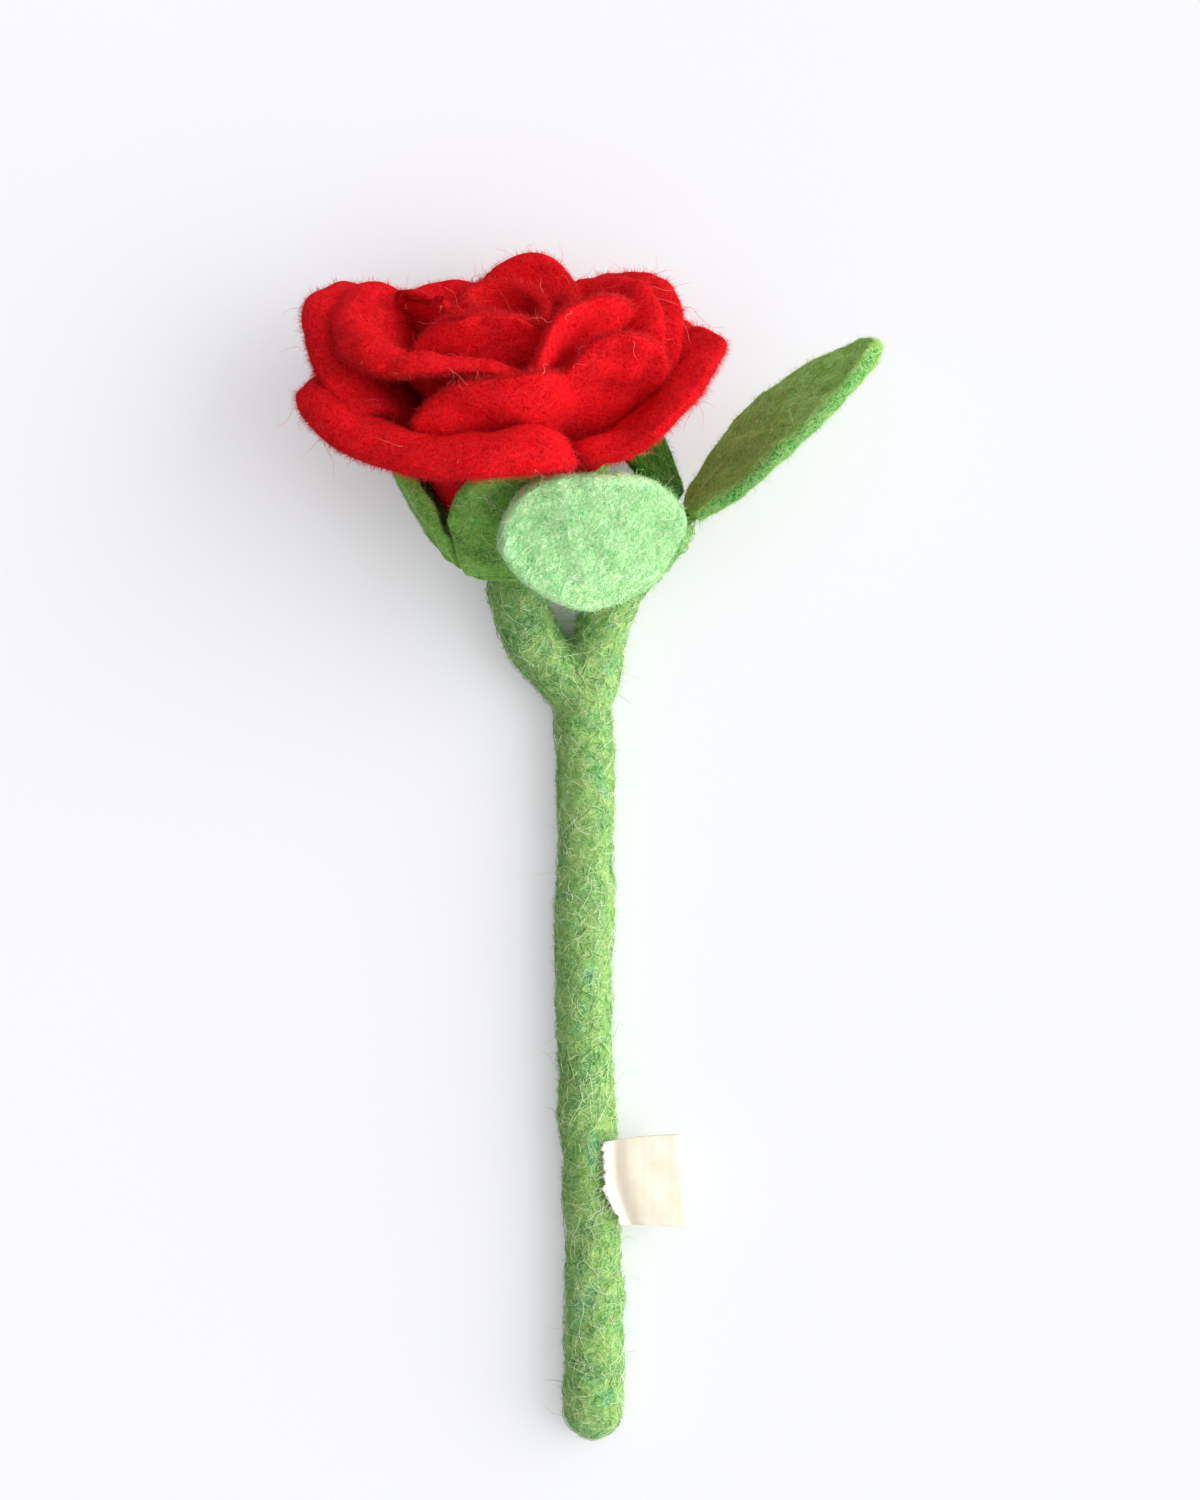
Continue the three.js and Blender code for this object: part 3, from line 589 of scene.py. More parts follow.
def fibre_material(name, stops):
    """Single loose fibres: each has a tint of its own, a little paler to the tip."""
    material, tree, shader, _ = new_material(name)
    shade = ramp(tree, stored(tree, "tint"), stops)
    tip = node(tree, "ShaderNodeHueSaturation", {"Color": shade, **TIP_TONE}).outputs["Color"]
    fill(tree, shader, {
        "Base Color": mixed(tree, stored(tree, "along"), shade, tip),
        "Roughness": TIP_ROUGHNESS,
        "Specular IOR Level": FELT_SHINE,
    })
    return material


PETAL_FELT = felt_material(
    "petal_felt",
    [(0.0, "#cc0209"), (0.45, "#e8050e"), (0.8, "#fa0c18"), (1.0, "#ec0610")],
    fibre="#ff444e", fibre_share=0.28, sheen="#ff2a30", pore_shade_share=0.55,
)
LEAF_FELT = felt_material(
    "leaf_felt",
    [(0.0, "#56c06a"), (0.35, "#84e08c"), (0.7, "#a2f09c"), (1.0, "#76de96")],
    fibre="#f6ffdc", fibre_share=0.65, sheen="#c8f0b0", pore_shade_share=0.2, edge="#b8eea8",
)
# Painted shade: the right leaflet's face is olive for the shade it lies in; its bright green edge colour is a
# painted lit edge
PAINTED_SHADE_OLIVE_FELT = felt_material(
    "painted_shade_olive_felt",
    [(0.0, "#6ea838"), (0.4, "#8ed04e"), (0.75, "#a4de66"), (1.0, "#7cd45e")],
    fibre="#e0f2a8", fibre_share=0.55, sheen="#c0d880", pore_shade_share=0.4, edge="#10a83c",
)
SEPAL_FELT = felt_material(
    "sepal_felt",
    [(0.0, "#357a20"), (0.4, "#5ca836"), (0.75, "#7cbe44"), (1.0, "#58b858")],
    fibre="#cce894", fibre_share=0.4, sheen="#b0dc80", pore_shade_share=0.4,
)
# Painted shade: the back leaflet's felt is dark for the shade it lies in under the bloom
PAINTED_SHADE_FELT = felt_material(
    "painted_shade_felt",
    [(0.0, "#1c460a"), (0.4, "#2e6216"), (0.75, "#3e761e"), (1.0, "#327628")],
    fibre="#6c9c48", fibre_share=0.25, sheen="#70a050", pore_shade_share=0.5,
)
STEM_FELT = felt_material(
    "stem_felt",
    [(0.0, "#358c4a"), (0.3, "#64b858"), (0.55, "#98c858"), (0.75, "#68be66"), (1.0, "#3caa78")],
    fibre="#e8f6ba", fibre_share=0.45, sheen="#c0e49c", pore_shade_share=0.3,
)
PETAL_FIBRE = fibre_material(
    "petal_fibre", [(0.0, "#c4030a"), (0.5, "#e80812"), (0.85, "#f8202a"), (1.0, "#f6a890")],
)
LEAF_FIBRE = fibre_material("leaf_fibre", [(0.0, "#60c470"), (0.5, "#a4ec98"), (1.0, "#f6ffdc")])
STEM_FIBRE = fibre_material("stem_fibre", [(0.0, "#3c8c40"), (0.5, "#86c866"), (1.0, "#f4fad0")])
# Painted shade: fibres toned like the right leaflet's shaded olive face
PAINTED_SHADE_OLIVE_FIBRE = fibre_material("painted_shade_olive_fibre", [(0.0, "#7c8c38"), (0.35, "#86d456"), (1.0, "#dcf6ae")])
# Painted shade: fibres as dark as the back leaflet's shaded felt
PAINTED_SHADE_FIBRE = fibre_material("painted_shade_fibre", [(0.0, "#1f4c0c"), (0.6, "#3c7420"), (1.0, "#90b464")])
THREAD = fibre_material("thread", [(0.0, "#efe4cc"), (0.5, "#fbf6e8"), (1.0, "#fffdf6")])


def wire_material():
    """Plain drawn steel with faint marks along it."""
    material, tree, shader, place = new_material("wire")
    marks = noise(tree, place, WIRE_MARKS)
    fill(tree, shader, {
        "Base Color": ramp(tree, marks, [(0.3, "#8e9092"), (0.7, "#a6a8aa")]),
        "Roughness": ranged(tree, marks, 0, 1, *WIRE_ROUGHNESS),
        "Metallic": 1.0,
    })
    return material


def ribbon_material():
    """Cream satin, its weave in fine ribs and its cut ends white."""
    material, tree, shader, place = new_material("ribbon")
    sockets = {"Vector": place, "Scale": WAVE_UNIT / (WEAVE * MM), "Distortion": WEAVE_DISTORTION}
    ribs = node(tree, "ShaderNodeTexWave", sockets).outputs["Fac"]
    cloud = noise(tree, place, SATIN_CLOUD, SATIN_DETAIL)
    cream = ramp(tree, cloud, [(0.3, "#efe3c8"), (0.5, "#f3e9d2"), (0.7, "#f6eedc")])
    weave = {"Height": ribs, "Strength": WEAVE_STRENGTH, "Distance": WEAVE_DEPTH * MM}
    fill(tree, shader, {
        "Base Color": mixed(tree, stored(tree, "edge"), cream, colour("#fffaf0")),
        "Normal": node(tree, "ShaderNodeBump", weave).outputs["Normal"],
        "Roughness": ranged(tree, ribs, 0, 1, *SATIN_ROUGHNESS),
        **SATIN_GLOSS,
    })
    return material


def floor_material():
    """Pale paper that glows a little where the camera sees it, less so close to the rose."""
    material, tree, shader, place = new_material("floor")
    paper = noise(tree, place, PAPER_SIZE, PAPER_DETAIL)
    fill(tree, shader, {
        "Base Color": mixed(tree, paper, colour("#f6f7fa"), colour("#f8f9fc")),
        **PAPER_GLOSS,
    })
    near = {"Distance": GLOW_REACH * MM}
    open_sky = node(tree, "ShaderNodeAmbientOcclusion", near, samples=GLOW_SAMPLES).outputs["AO"]
    in_view = node(tree, "ShaderNodeLightPath").outputs["Is Camera Ray"]
    share = maths(tree, "MULTIPLY", maths(tree, "MULTIPLY", open_sky, in_view), FLOOR_GLOW)
    white = node(tree, "ShaderNodeEmission", {"Color": colour("#fbfbff")})
    both = node(tree, "ShaderNodeMixShader", {0: share, 1: shader.outputs[0], 2: white.outputs[0]})
    fill(tree, tree.nodes["Material Output"], {"Surface": both.outputs[0]})
    return material


WIRE = wire_material()
for name in ("stem_wire", "leaf_wire", "flower_wire"):
    wire = frame["nodes"][name]
    wire.data.materials.clear()
    wire.data.materials.append(WIRE)


# Meshes
def new_piece(name, points, faces, material):
    """A piece from points in millimetres and arrays of faces."""
    sizes = np.concatenate([np.full(len(f), f.shape[1]) for f in faces])
    corners = np.concatenate([np.asarray(f).ravel() for f in faces])
    mesh = bpy.data.meshes.new(name)
    mesh.vertices.add(len(points))
    mesh.vertices.foreach_set("co", (points * MM).ravel().astype(np.float32))
    mesh.loops.add(len(corners))
    mesh.loops.foreach_set("vertex_index", corners.astype(np.int32))
    mesh.polygons.add(len(sizes))
    mesh.polygons.foreach_set("loop_start", np.concatenate([[0], np.cumsum(sizes)[:-1]]).astype(np.int32))
    mesh.polygons.foreach_set("use_smooth", np.ones(len(sizes), bool))
    mesh.update(calc_edges=True)
    mesh.materials.append(material)
    piece = add_object(name, mesh)
    return piece


def point_values(piece, key, values):
    layer = piece.data.attributes.new(key, "FLOAT", "POINT")
    layer.data.foreach_set("value", values.astype(np.float32))


def volume(points, faces):
    corners = points[faces]
    total = 0.0
    for k in range(1, faces.shape[1] - 1):
        cross = np.cross(corners[:, k], corners[:, k + 1])
        total += np.einsum("ij,ij->", corners[:, 0], cross)
    return total / 6


def spaced(span, radius, step):
    """Places from -1 to 1 along a side of that length, closer together where the rim turns over."""
    half = span / 2
    turn = np.linspace(0, np.pi / 2, RIM_STEPS, endpoint=False)
    edge = radius * (1 - np.cos(turn)) / half - 1
    flat = 1 - radius / half
    inner = np.linspace(-flat, flat, max(3, round(2 * flat * half / step)))
    return np.concatenate([edge, inner, -edge[::-1]])


def rim_share(depth, radius):
    """How much of its full thickness a sheet has at that depth in from a half-round rim."""
    back = 1 - np.clip(depth / radius, 0, 1)
    return np.sqrt(np.maximum(0, 1 - back * back))


def grid_normals(points):
    across = np.gradient(points, axis=1)
    along = np.gradient(points, axis=0)
    return unit(np.cross(across, along))


def grid_sizes(points):
    """Width, length and area of a middle surface."""
    across = np.linalg.norm(np.diff(points, axis=1), axis=-1)
    along = np.linalg.norm(np.diff(points, axis=0), axis=-1)
    side_a = points[1:, :-1] - points[:-1, :-1]
    side_b = points[:-1, 1:] - points[:-1, :-1]
    area = np.linalg.norm(np.cross(side_a, side_b), axis=-1).sum()
    return across.sum(1).max(), along.sum(0).max(), area


class Sheet:
    """Felt sheet about a middle surface: its mesh points and faces, its flat sizes and how far in from the
    rim each point lies."""

    def __init__(self, surface, width, length, thickness, rounding, seed, waver=WAVER, step=GRID_STEP):
        radius = thickness / 2
        a, b = np.meshgrid(spaced(width, radius, step), spaced(length, radius, step))
        u = a * np.sqrt(1 - rounding * b * b / 2)
        v = (b * np.sqrt(1 - rounding * a * a / 2) + 1) / 2
        middle = surface(u, v)
        middle = middle + grid_normals(middle) * (waver[1] * lumps(middle, seed, waver[0]))[..., None]
        middle = above_table(middle, radius)
        self.flat = grid_sizes(middle)
        in_a = (1 - np.abs(a)) * width / 2
        in_b = (1 - np.abs(b)) * length / 2
        depth = np.minimum(in_a, in_b)
        half = radius * rim_share(in_a, radius) * rim_share(in_b, radius)
        half = half * (1 + 2 * DENTS[1] * lumps(middle, seed + 1, DENTS[0]))
        offset = grid_normals(middle) * half[..., None]
        rows, columns = a.shape
        front = np.arange(rows * columns).reshape(rows, columns)
        back = front.copy()
        inner = (slice(1, -1), slice(1, -1))
        back[inner] = rows * columns + np.arange((rows - 2) * (columns - 2)).reshape(rows - 2, columns - 2)
        self.points = np.concatenate([
            (middle + offset).reshape(-1, 3),
            (middle - offset)[inner].reshape(-1, 3),
        ])
        self.points[:, 2] = np.maximum(self.points[:, 2], TABLE_CLEAR)
        self.faces = np.concatenate([self.quads(front), self.quads(back)[:, ::-1]])
        if volume(self.points, self.faces) < 0:
            self.faces = self.faces[:, ::-1]
        self.depth = np.concatenate([depth.ravel(), depth[inner].ravel()])
        self.u = np.concatenate([u.ravel(), u[inner].ravel()])
        self.v = np.concatenate([v.ravel(), v[inner].ravel()])

    @staticmethod
    def quads(index):
        return np.stack([index[:-1, :-1], index[:-1, 1:], index[1:, 1:], index[1:, :-1]], -1).reshape(-1, 4)

    def piece(self, name, material, slot, body, held, rests_on, edge=None):
        made = new_piece(name, self.points, [self.faces], material)
        if edge is not None:
            point_values(made, "edge", edge)
        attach(made, body)
        return made

    def fuzz(self, weights, recipe, seed):
        return fuzz_on(self.points, self.faces, weights, self.depth, self.flat[2], recipe, seed)


# Loose fibres: thin closed spikes that stand or lie on the felt
def roots_on(points, faces, weights, count, rng):
    """Places and outward directions on a mesh, more of them where the weights are higher."""
    triangles = np.concatenate([faces[:, [0, 1, 2]], faces[:, [0, 2, 3]]])
    corners = points[triangles]
    cross = np.cross(corners[:, 1] - corners[:, 0], corners[:, 2] - corners[:, 0])
    chance = np.linalg.norm(cross, axis=1) * weights[triangles].mean(1)
    picked = rng.choice(len(triangles), count, p=chance / chance.sum())
    s, t = rng.random((2, count))
    over = s + t > 1
    s[over], t[over] = 1 - s[over], 1 - t[over]
    a, b, c = np.moveaxis(corners[picked], 1, 0)
    return a + s[:, None] * (b - a) + t[:, None] * (c - a), unit(cross[picked])


def fibres(places, ways, rng, kind, under=None):
    """Points of curved spikes: rows of one spike each, three points to a ring and one at the tip. Where there
    is a tree of the surface under them, they lie on it in low arches."""
    count = len(places)
    radius, segments = kind["radius"], kind["segments"]
    side = unit(np.cross(ways, rng.normal(size=(count, 3))))
    slope = np.radians(rng.uniform(*kind["lean"], count))[:, None]
    first = ways * np.cos(slope) + side * np.sin(slope)
    bend = unit(rng.normal(size=(count, 3)) + kind["lift"] * ways)
    sway = unit(np.cross(first, rng.normal(size=(count, 3))))
    turn = rng.uniform(*CURL_SPREAD, count)[:, None] * kind["curl"]
    size = (rng.uniform(*kind["length"], count) * rng.uniform(*LENGTH_SPREAD, count))[:, None]
    rings = []
    shares = np.linspace(0, 1, segments + 1)
    for t in shares:
        bow = turn * t * t * FIBRE_BOW
        swing = turn * FIBRE_SWAY * math.sin(t * FIBRE_SWAYS)
        rings.append(places - ways * kind["sink"] + size * (first * t + bend * bow + sway * swing))
    rings = np.stack(rings, 1)
    if under is not None:
        height = radius + kind["loft"] * rng.uniform(0, 1, count)[:, None] * np.sin(np.pi * shares)
        for k in range(1, segments + 1):
            for i in range(count):
                near, way, _, _ = under.find_nearest(rings[i, k])
                rings[i, k] = near + way * float(height[i, k])
    tangent = unit(np.gradient(rings, axis=1))
    top = unit(np.cross(tangent, FIBRE_ASLANT))
    cross = np.cross(tangent, top)
    points = []
    for k in range(segments):
        reach = radius * (1 - FIBRE_TAPER * shares[k])
        for i in range(3):
            angle = 2 * np.pi * i / 3
            around = top[:, k] * math.cos(angle) + cross[:, k] * math.sin(angle)
            points.append(rings[:, k] + reach * around)
    points.append(rings[:, segments])
    points = np.stack(points, 1)
    points[..., 2] = np.maximum(points[..., 2], FIBRE_CLEAR)
    return points


def uv_rows(cell, corners):
    """Map places of one face of every spike: a cell for its tint, and how far along the spike."""
    return np.stack([np.stack([cell[:, x], np.full(len(cell), y)], -1) for x, y in corners], 1)


def fibre_piece(name, groups, material):
    """One piece of many spikes. Each group is the points of its spikes and their tints."""
    points, quads, ends, tints, alongs = [], [], [], [], []
    quad_uv, end_uv = [], []
    start = 0
    for spikes, tint in groups:
        count, per, _ = spikes.shape
        segments = (per - 1) // 3
        base = start + per * np.arange(count)[:, None]
        share = np.repeat(np.arange(segments) / segments, 3)
        cell = np.stack([tint + side for side in TINT_CELL], -1) / TINTS
        for k in range(segments - 1):
            for i in range(3):
                j = (i + 1) % 3
                quads.append(base + np.array([3 * k + i, 3 * k + j, 3 * k + 3 + j, 3 * k + 3 + i]))
                low, high = k / segments, (k + 1) / segments
                quad_uv.append(uv_rows(cell, [(0, low), (1, low), (1, high), (0, high)]))
        last = 3 * (segments - 1)
        for i in range(3):
            j = (i + 1) % 3
            ends.append(base + np.array([last + i, last + j, per - 1]))
            end_uv.append(uv_rows(cell, [(0, 1 - 1 / segments), (1, 1 - 1 / segments), (1, 1)]))
        ends.append(base + np.array([2, 1, 0]))
        end_uv.append(uv_rows(cell, [(0, 0), (1, 0), (1, 0.5 / segments)]))
        points.append(spikes.reshape(-1, 3))
        tints.append(np.repeat((tint + 0.5) / TINTS, per))
        alongs.append(np.tile(np.append(share, 1.0), count))
        start += count * per
    faces = [np.concatenate(quads), np.concatenate(ends)]
    piece = new_piece(name, np.concatenate(points), faces, material)
    point_values(piece, "tint", np.concatenate(tints))
    point_values(piece, "along", np.concatenate(alongs))
    uv = np.concatenate([np.concatenate(quad_uv).reshape(-1, 2), np.concatenate(end_uv).reshape(-1, 2)])
    piece.data.uv_layers.new(name="OFBake").data.foreach_set("uv", uv.ravel().astype(np.float32))
    return piece


def fuzz_on(points, faces, weights, depth, area, recipe, seed):
    """Groups of fibres on one mesh of that area: each kind and how many to a square millimetre. Depth is how
    far in from the rim each point lies."""
    rng = np.random.default_rng(seed)
    groups = []
    under = BVHTree.FromPolygons(points.tolist(), faces.tolist())
    for kind, density in recipe:
        count = round(area * density)
        inside = smooth(depth, 0, kind["inward"]) if kind["inward"] else 1
        places, ways = roots_on(points, faces, weights * inside, count, rng)
        spikes = fibres(places, ways, rng, kind, under if kind["loft"] else None)
        shade = np.clip(rng.normal(*TINT_SPREAD, count) + (kind["pale"] - PALE), 0, kind["pale"])
        groups.append((spikes, np.minimum((shade * TINTS).astype(int), TINTS - 1)))
    return groups


def rim_weights(sheet, base, rim, depth):
    return base + rim * np.exp(-sheet.depth / depth)


# Bloom
bloom_turn = turned(BLOOM_RISE - 90, 0, BLOOM_LEAN)
axis_height = STEM_RADIUS - FLAT
fork = np.array([STEM_WANDER[-1], STEM_UP, axis_height])
neck = fork + NECK_WAY
knot = fork + BRANCH_WAY
bloom_foot = neck + bloom_turn[:, 2] * (STEM_RADIUS + GAP + FELT)


def in_bloom(points):
    """Points about the bloom axis, standing on the calyx disc, in the shared frame."""
    return points @ bloom_turn.T + bloom_foot


def round_bloom(angle, radius, height):
    turn = np.radians(angle)
    return np.stack([radius * np.cos(turn), -radius * np.sin(turn), height], -1)


def core_radius(height):
    return mix(CORE_FOOT_RADIUS, CORE_TOP_RADIUS, min(1, max(0, (height - GAP) / CORE_HEIGHT)))


def bezier(p0, p1, p2, p3, t):
    s = 1 - t
    return s ** 3 * p0 + 3 * s * s * t * p1 + 3 * s * t * t * p2 + t ** 3 * p3


def catmull(p0, p1, p2, p3, t):
    square = 2 * p0 - 5 * p1 + 4 * p2 - p3
    cube = 3 * p1 - p0 - 3 * p2 + p3
    return 0.5 * (2 * p1 + (p2 - p0) * t + square * t ** 2 + cube * t ** 3)


def run_on(points):
    """Points with one more at each end, straight on."""
    return np.concatenate([[2 * points[0] - points[1]], points, [2 * points[-1] - points[-2]]])


def along_rim(knots, u):
    """Angle, radius, height and roll on a smooth line through the points of a rim."""
    knots = np.asarray(knots, float)
    ends = run_on(knots)
    at = np.clip((u + 1) / 2, 0, 1) * (len(knots) - 1)
    k = np.minimum(at.astype(int), len(knots) - 2)
    t = (at - k)[..., None]
    return catmull(ends[k], ends[k + 1], ends[k + 2], ends[k + 3], t)


def petal_surface(ring, knots, foot_radius, shape):
    middle = (knots[0][0] + knots[-1][0]) / 2

    def point_at(u, v):
        angle, out, up, roll = np.moveaxis(along_rim(knots, u), -1, 0)
        spread = mix(shape["foot_share"], 1, smooth(v, 0, shape["full_at"]))
        radius = bezier(foot_radius, ring["low_out"], out - roll * ring["back"], out, v)
        height = bezier(ring["foot"], ring["low"], up + roll * ring["over"], up, v)
        return in_bloom(round_bloom(middle + (angle - middle) * spread, radius, height))

    return point_at


def span_of(surface):
    """Rough width and length of a surface, to set its grid."""
    across = surface(np.linspace(-1, 1, SPAN_STEPS), np.full(SPAN_STEPS, SPAN_AT))
    along = surface(np.zeros(SPAN_STEPS), np.linspace(0, 1, SPAN_STEPS))
    return [np.linalg.norm(np.diff(line, axis=0), axis=1).sum() for line in (across, along)]


def bud_surface(u, v):
    turns = BUD_TURNS * (u + 1) / 2
    radius = BUD_HOLLOW + FELT / 2 + BUD_PITCH * turns
    point = round_bloom(BUD_START + 360 * turns, radius, CORE_HEIGHT + 2 * GAP + v * BUD_HEIGHT)
    point[..., 0] = BUD_SIDE + BUD_STRETCH * point[..., 0]
    point[..., 2] += (BUD_NOD * point[..., 1] - BUD_TIP * point[..., 0]) * v
    return in_bloom(point)


def disc_surface(u, v):
    flat = np.stack([DISC_RADIUS * u, DISC_RADIUS * (2 * v - 1), np.full_like(u, -FELT / 2)], -1)
    return in_bloom(flat)


def bloom_weights(sheet, rim):
    return rim_weights(sheet, *rim) * smooth(sheet.v, *BARE_FOOT)


seed = FIRST_SEED
petal_fuzz = []
sepal_fuzz = []
for name, ring, rim in PETALS:
    surface = petal_surface(ring, rim, core_radius(ring["foot"]) + FELT / 2 + GAP, PETAL_SHAPE)
    sheet = Sheet(surface, *span_of(surface), PETAL_THICK, PETAL_SHAPE["rounding"], seed)
    made = sheet.piece(f"petal_{name}_sheet", PETAL_FELT, "petal_felt", "head", "gathered", ["bloom_core"])
    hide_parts(f"petal_{name}")
    petal_fuzz.append(sheet.fuzz(bloom_weights(sheet, PETAL_RIM), PETAL_FUZZ, seed))
    seed += SEED_STEP

for name, ring, rim in SEPALS:
    surface = petal_surface(ring, rim, DISC_RADIUS + FELT / 2 + GAP, SEPAL_SHAPE)
    sheet = Sheet(surface, *span_of(surface), SEPAL_THICK, SEPAL_SHAPE["rounding"], seed)
    made = sheet.piece(f"sepal_{name}_sheet", SEPAL_FELT, "leaf_felt", "head", "gathered", ["calyx_disc"])
    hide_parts(f"sepal_{name}")
    sepal_fuzz.append(sheet.fuzz(bloom_weights(sheet, SEPAL_RIM), SEPAL_FUZZ, seed))
    seed += SEED_STEP

bud = Sheet(bud_surface, BUD_WIDTH, BUD_HEIGHT, FELT, BUD_ROUNDING, seed, BUD_WAVER)
made = bud.piece("bud_roll_sheet", PETAL_FELT, "petal_felt", "head", "folded", ["bloom_core"])
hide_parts("bud_roll")
petal_fuzz.append(bud.fuzz(bloom_weights(bud, BUD_RIM), PETAL_FUZZ, seed))
seed += SEED_STEP

disc = Sheet(disc_surface, 2 * DISC_RADIUS, 2 * DISC_RADIUS, FELT, DISC_ROUNDING, seed, DISC_WAVER)
made = disc.piece("calyx_disc_pad", SEPAL_FELT, "leaf_felt", "head", "stretched", ["stem_felt"])
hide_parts("calyx_disc")
seed += SEED_STEP


# Ropes: the stem and the core
def way_along(line):
    """How far along a line each of its points is."""
    return np.concatenate([[0], np.cumsum(np.linalg.norm(np.diff(line, axis=0), axis=1))])


def through(points, step):
    """Places along a smooth line through points, that far apart."""
    points = np.asarray(points, float)
    ends = run_on(points)
    t = np.linspace(0, 1, LINE_STEPS, endpoint=False)[:, None]
    pieces = []
    for p0, p1, p2, p3 in zip(ends, ends[1:], ends[2:], ends[3:]):
        pieces.append(catmull(p0, p1, p2, p3, t))
    line = np.concatenate([*pieces, points[-1:]])
    way = way_along(line)
    even = np.linspace(0, way[-1], max(2, math.ceil(way[-1] / step)))
    return np.stack([np.interp(even, way, line[:, k]) for k in range(3)], -1)


def rope(line, radii, sides):
    """Points and faces of a round rope with domed ends."""
    count = len(line)
    radius = np.interp(np.linspace(0, 1, count), np.linspace(0, 1, len(radii)), radii)
    tangent = unit(np.gradient(line, axis=0))
    dome = np.radians(DOME)
    centres = [*(line[0] - tangent[0] * radius[0] * np.sin(dome)[:, None]), *line]
    centres += [*(line[-1] + tangent[-1] * radius[-1] * np.sin(dome[::-1])[:, None])]
    sizes = np.concatenate([radius[0] * np.cos(dome), radius, radius[-1] * np.cos(dome[::-1])])
    ends = [np.repeat(end, len(DOME), 0) for end in (tangent[:1], tangent[-1:])]
    ways = np.concatenate([ends[0], tangent, ends[1]])
    side = unit(np.cross(ways, ROPE_ASLANT))
    top = np.cross(ways, side)
    turn = np.linspace(0, 2 * np.pi, sides, endpoint=False)
    rings = np.stack(centres)[:, None] + sizes[:, None, None] * (
        side[:, None] * np.cos(turn)[:, None] + top[:, None] * np.sin(turn)[:, None]
    )
    index = np.arange(len(rings) * sides).reshape(len(rings), sides)
    closed = np.concatenate([index, index[:, :1]], 1)
    quads = Sheet.quads(closed)
    caps = np.stack([index[0, ::-1], index[-1]])
    return rings.reshape(-1, 3), quads, caps


def read(items, key, width, kind):
    """Values of a mesh's items, so many to a row."""
    values = np.zeros(len(items) * width, kind)
    items.foreach_get(key, values)
    return values.reshape(-1, width)


stem_down = [
    np.array([x, mix(-STEM_DOWN, STEM_UP, k / (len(STEM_WANDER) - 1)), axis_height])
    for k, x in enumerate(STEM_WANDER)
]
bloom_line = [*stem_down, *(fork + np.array(bend) * NECK_WAY for bend in NECK_BENDS), neck]
leaf_line = [fork, *(fork + np.array(bend) * BRANCH_WAY for bend in BRANCH_BENDS), knot]
parts = [
    rope(through(bloom_line, STEM_STEP), STEM_RADII + NECK_RADII, STEM_SIDES),
    rope(through(leaf_line, STEM_STEP), BRANCH_RADII, STEM_SIDES),
]
points, faces, start = [], [], 0
for part_points, quads, caps in parts:
    points.append(part_points)
    faces += [quads + start, caps + start]
    start += len(part_points)
rough = new_piece("stem_rough", np.concatenate(points), faces, STEM_FELT)
joined = rough.modifiers.new("joined", "REMESH")
joined.mode = "VOXEL"
joined.voxel_size = STEM_VOXEL * MM
eased = rough.modifiers.new("eased", "SMOOTH")
eased.factor = STEM_EASE_SHARE
eased.iterations = STEM_EASE
one = bpy.data.meshes.new_from_object(rough.evaluated_get(bpy.context.evaluated_depsgraph_get()))
points = read(one.vertices, "co", 3, np.float32).astype(float) / MM
ways = read(one.vertices, "normal", 3, np.float32)
quads = read(one.loops, "vertex_index", 1, np.int32).reshape(-1, 4)
bpy.data.objects.remove(rough)
uneven = sum(high * lumps(points, seed + k, wide) for k, (wide, high) in enumerate(STEM_LUMPS))
points = points + ways * uneven[:, None]
points[:, 2] = np.maximum(points[:, 2], TABLE_CLEAR)
stem = new_piece("stem_rope", points, [quads], STEM_FELT)
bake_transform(stem)
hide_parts("stem_felt")
stem_area = STEM_VOXEL ** 2 * len(quads)
even = np.ones(len(points))
stem_groups = fuzz_on(points, quads, even, STEM_RADIUS * even, stem_area, STEM_FUZZ, seed)
stem_fuzz = fibre_piece("stem_fuzz", stem_groups, STEM_FIBRE)
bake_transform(stem_fuzz)
seed += SEED_STEP

core_ends = [[0, 0, GAP + CORE_FOOT_RADIUS / 2], [0, 0, GAP + CORE_HEIGHT - CORE_TOP_RADIUS]]
core_radii = [CORE_FOOT_RADIUS, CORE_TOP_RADIUS]
core_points, core_quads, core_caps = rope(through(core_ends, CORE_STEP), core_radii, CORE_SIDES)
core_points[:, 2] = np.maximum(core_points[:, 2], GAP)
core = new_piece("bloom_core_cone", in_bloom(core_points), [core_quads, core_caps], PETAL_FELT)
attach(core, "head")
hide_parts("bloom_core")

# Fibres of the bloom, in pieces of a size that keeps well
rings = [ring for _, ring, _ in PETALS]
upright, flared = rings.index(FRONT), rings.index(FLARED)
for name, several, material, slot in (
    ("inner_petal_fuzz", petal_fuzz[:upright], PETAL_FIBRE, "petal_felt"),
    ("upright_petal_fuzz", petal_fuzz[upright:flared], PETAL_FIBRE, "petal_felt"),
    ("flared_petal_fuzz", petal_fuzz[flared:], PETAL_FIBRE, "petal_felt"),
    ("sepal_fuzz", sepal_fuzz, STEM_FIBRE, "leaf_felt"),
):
    made = fibre_piece(name, [group for groups in several for group in groups], material)
    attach(made, "head")


# Leaflets
def leaf_surface(leaf, at, turn):
    def point_at(u, v):
        beyond = np.maximum(0, (v - LEAF_WIDEST) / (1 - LEAF_WIDEST))
        tip = np.maximum(0, 1 - beyond * beyond) ** leaf["point"]
        near_foot = v < LEAF_WIDEST
        heel = np.sin(np.pi / 2 * np.minimum(v / LEAF_WIDEST, 1)) ** leaf["heel"]
        foot_or_tip = np.where(near_foot, leaf["foot"], LEAF_TIP)
        width = mix(foot_or_tip, leaf["width"], np.where(near_foot, heel, tip))
        lift = leaf["arch"] * np.sin(np.pi * v) + leaf["cup"] * u * u * width / (2 * leaf["width"])
        return np.stack([v * leaf["length"], u * width / 2, lift], -1) @ turn.T + at

    return point_at
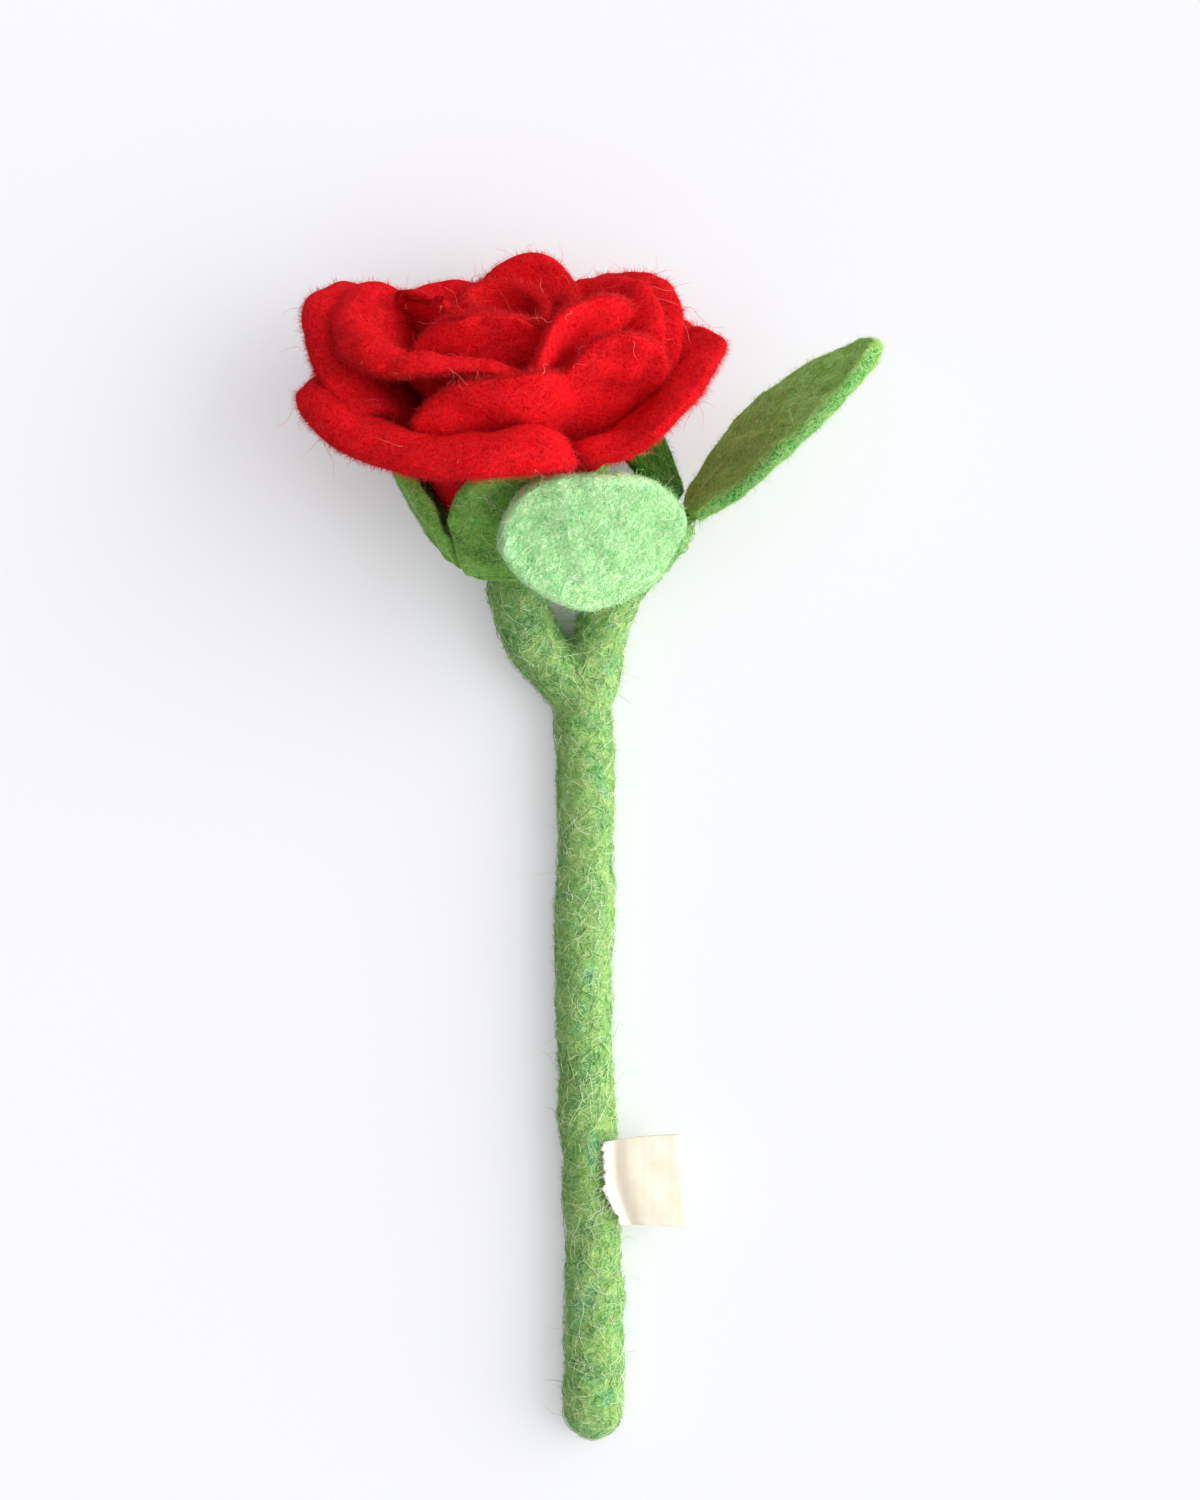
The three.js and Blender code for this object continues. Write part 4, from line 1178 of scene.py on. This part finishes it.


# The right leaflet takes felt with painted shade and a painted lit edge; the back leaflet takes felt with
# painted shade
LEAF_FELTS = dict(front=LEAF_FELT, right=PAINTED_SHADE_OLIVE_FELT, back=PAINTED_SHADE_FELT)
# The back leaflet's fibres carry painted shade too
LEAF_FIBRES = dict(front=LEAF_FIBRE, right=PAINTED_SHADE_OLIVE_FIBRE, back=PAINTED_SHADE_FIBRE)
joints = {joint["name"]: np.array(joint["pos_m"]) / MM for joint in frame["joints"]}
for leaf in LEAVES:
    name = f"leaf_{leaf['name']}"
    body = f"{leaf['name']}_leaflet"
    turn = turned(-leaf["roll"], -leaf["raised"], leaf["turn"])
    surface = leaf_surface(leaf, joints[f"{body}_bend"], turn)
    sheet = Sheet(surface, leaf["width"], leaf["length"], LEAF_THICK, LEAF_ROUNDING, seed)
    # On the right leaflet this edge band is a painted lit edge
    edge = smooth(leaf["edge_side"] * sheet.u, *leaf["edge_from"])
    felt, fibre = LEAF_FELTS[leaf["name"]], LEAF_FIBRES[leaf["name"]]
    made = sheet.piece(f"{name}_sheet", felt, "leaf_felt", body, "stretched", ["stem_felt"], edge)
    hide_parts(name)
    groups = sheet.fuzz(rim_weights(sheet, *LEAF_RIM), LEAF_FUZZ, seed)
    rng = np.random.default_rng(seed + 1)
    across = rng.uniform(-BINDING_ACROSS, BINDING_ACROSS, BINDING_COUNT)
    roots = surface(across, rng.uniform(0, BINDING_ALONG, BINDING_COUNT))
    binding = fibres(roots, unit(knot - roots), rng, BINDING)
    groups.append((binding, rng.integers(0, TINTS // 2, BINDING_COUNT)))
    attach(fibre_piece(f"{name}_fuzz", groups, fibre), body)
    seed += SEED_STEP

# Label: along the ribbon from one cut end, round the fold and back to the other
fold = LABEL_OPEN / 2 + RIBBON / 2
flat = LABEL_REACH - fold - RIBBON / 2
out = np.linspace(0, flat, LABEL_STEPS)
rise = RIBBON / 2 + (fold - RIBBON / 2) * smooth(out, 0, LABEL_PARTING * flat)
crest = np.exp(-((out - LABEL_CREST) / LABEL_CREST_WIDTH) ** 2)
crease = np.exp(-((out - LABEL_CREASE) / LABEL_CREASE_WIDTH) ** 2)
arc = np.linspace(np.pi / 2, -np.pi / 2, LABEL_FOLD_STEPS)
run = np.concatenate([
    np.stack([out, rise + LABEL_WAVE * (crest - crease) * smooth(out, 0, LABEL_CREASE)], -1),
    np.stack([flat + fold * np.cos(arc), fold * np.sin(arc)], -1)[1:-1],
    np.stack([out, -rise], -1)[::-1],
])
way = way_along(run)
label_turn = turned(90, LABEL_DROOP, LABEL_SKEW)
LABEL_SEED = seed + 5


def label_surface(u, v):
    at = np.clip(v, 0, 1) * way[-1]
    x, y = (np.interp(at, way, run[:, k]) for k in range(2))
    down = (u + 1) / 2
    share = x / LABEL_REACH
    seam = LABEL_SLANT[0] * down * (1 - down) + LABEL_SLANT[1] * down ** 4
    along_seam = np.stack([u * LABEL_WIDTH / 2, np.zeros_like(u), np.zeros_like(u)], -1)
    seam = seam + LABEL_FRAY[1] * lumps(along_seam, LABEL_SEED, LABEL_FRAY[0]) * np.exp(-x)
    z = u * LABEL_WIDTH / 2 * mix(LABEL_SEAM_WIDTH, 1, share) + LABEL_SAG[0] + LABEL_SAG[1] * share * share
    return np.stack([x + seam * (1 - share), y, z], -1) @ label_turn.T + joints["label_flap"]


label = Sheet(label_surface, LABEL_WIDTH, way[-1], RIBBON, LABEL_ROUNDING, seed, LABEL_WAVER, LABEL_STEP)
from_end = np.minimum(label.v, 1 - label.v) * way[-1]
ragged = LABEL_CUT_WAVER[1] * lumps(label.points, seed + 2, LABEL_CUT_WAVER[0])
white = 1 - smooth(from_end + ragged, LABEL_CUT_CLEAN * LABEL_CUT, LABEL_CUT)
satin = ribbon_material()
made = label.piece("label_ribbon", satin, "ribbon", "ribbon_label", "folded", ["stem_felt"], white)
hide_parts("label")
rng = np.random.default_rng(seed)
across = rng.uniform(-LABEL_THREAD_ACROSS, LABEL_THREAD_ACROSS, LABEL_THREAD_COUNT)
roots = label_surface(across, np.full(LABEL_THREAD_COUNT, LABEL_THREAD_ALONG))
ways = np.tile(label_turn @ unit(LABEL_THREAD_WAY), (LABEL_THREAD_COUNT, 1))
threads = fibres(roots, ways, rng, LABEL_THREADS)
tints = rng.integers(0, TINTS, LABEL_THREAD_COUNT)
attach(fibre_piece("label_threads", [(threads, tints)], THREAD), "ribbon_label")

# Floor
floor = bpy.data.meshes.new("floor")
edge = FLOOR_SPAN / 2 * MM
corners = [(-edge, -edge, 0), (edge, -edge, 0), (edge, edge, 0), (-edge, edge, 0)]
floor.from_pydata(corners, [], [(0, 1, 2, 3)])
floor.materials.append(floor_material())
add_object("floor", floor)
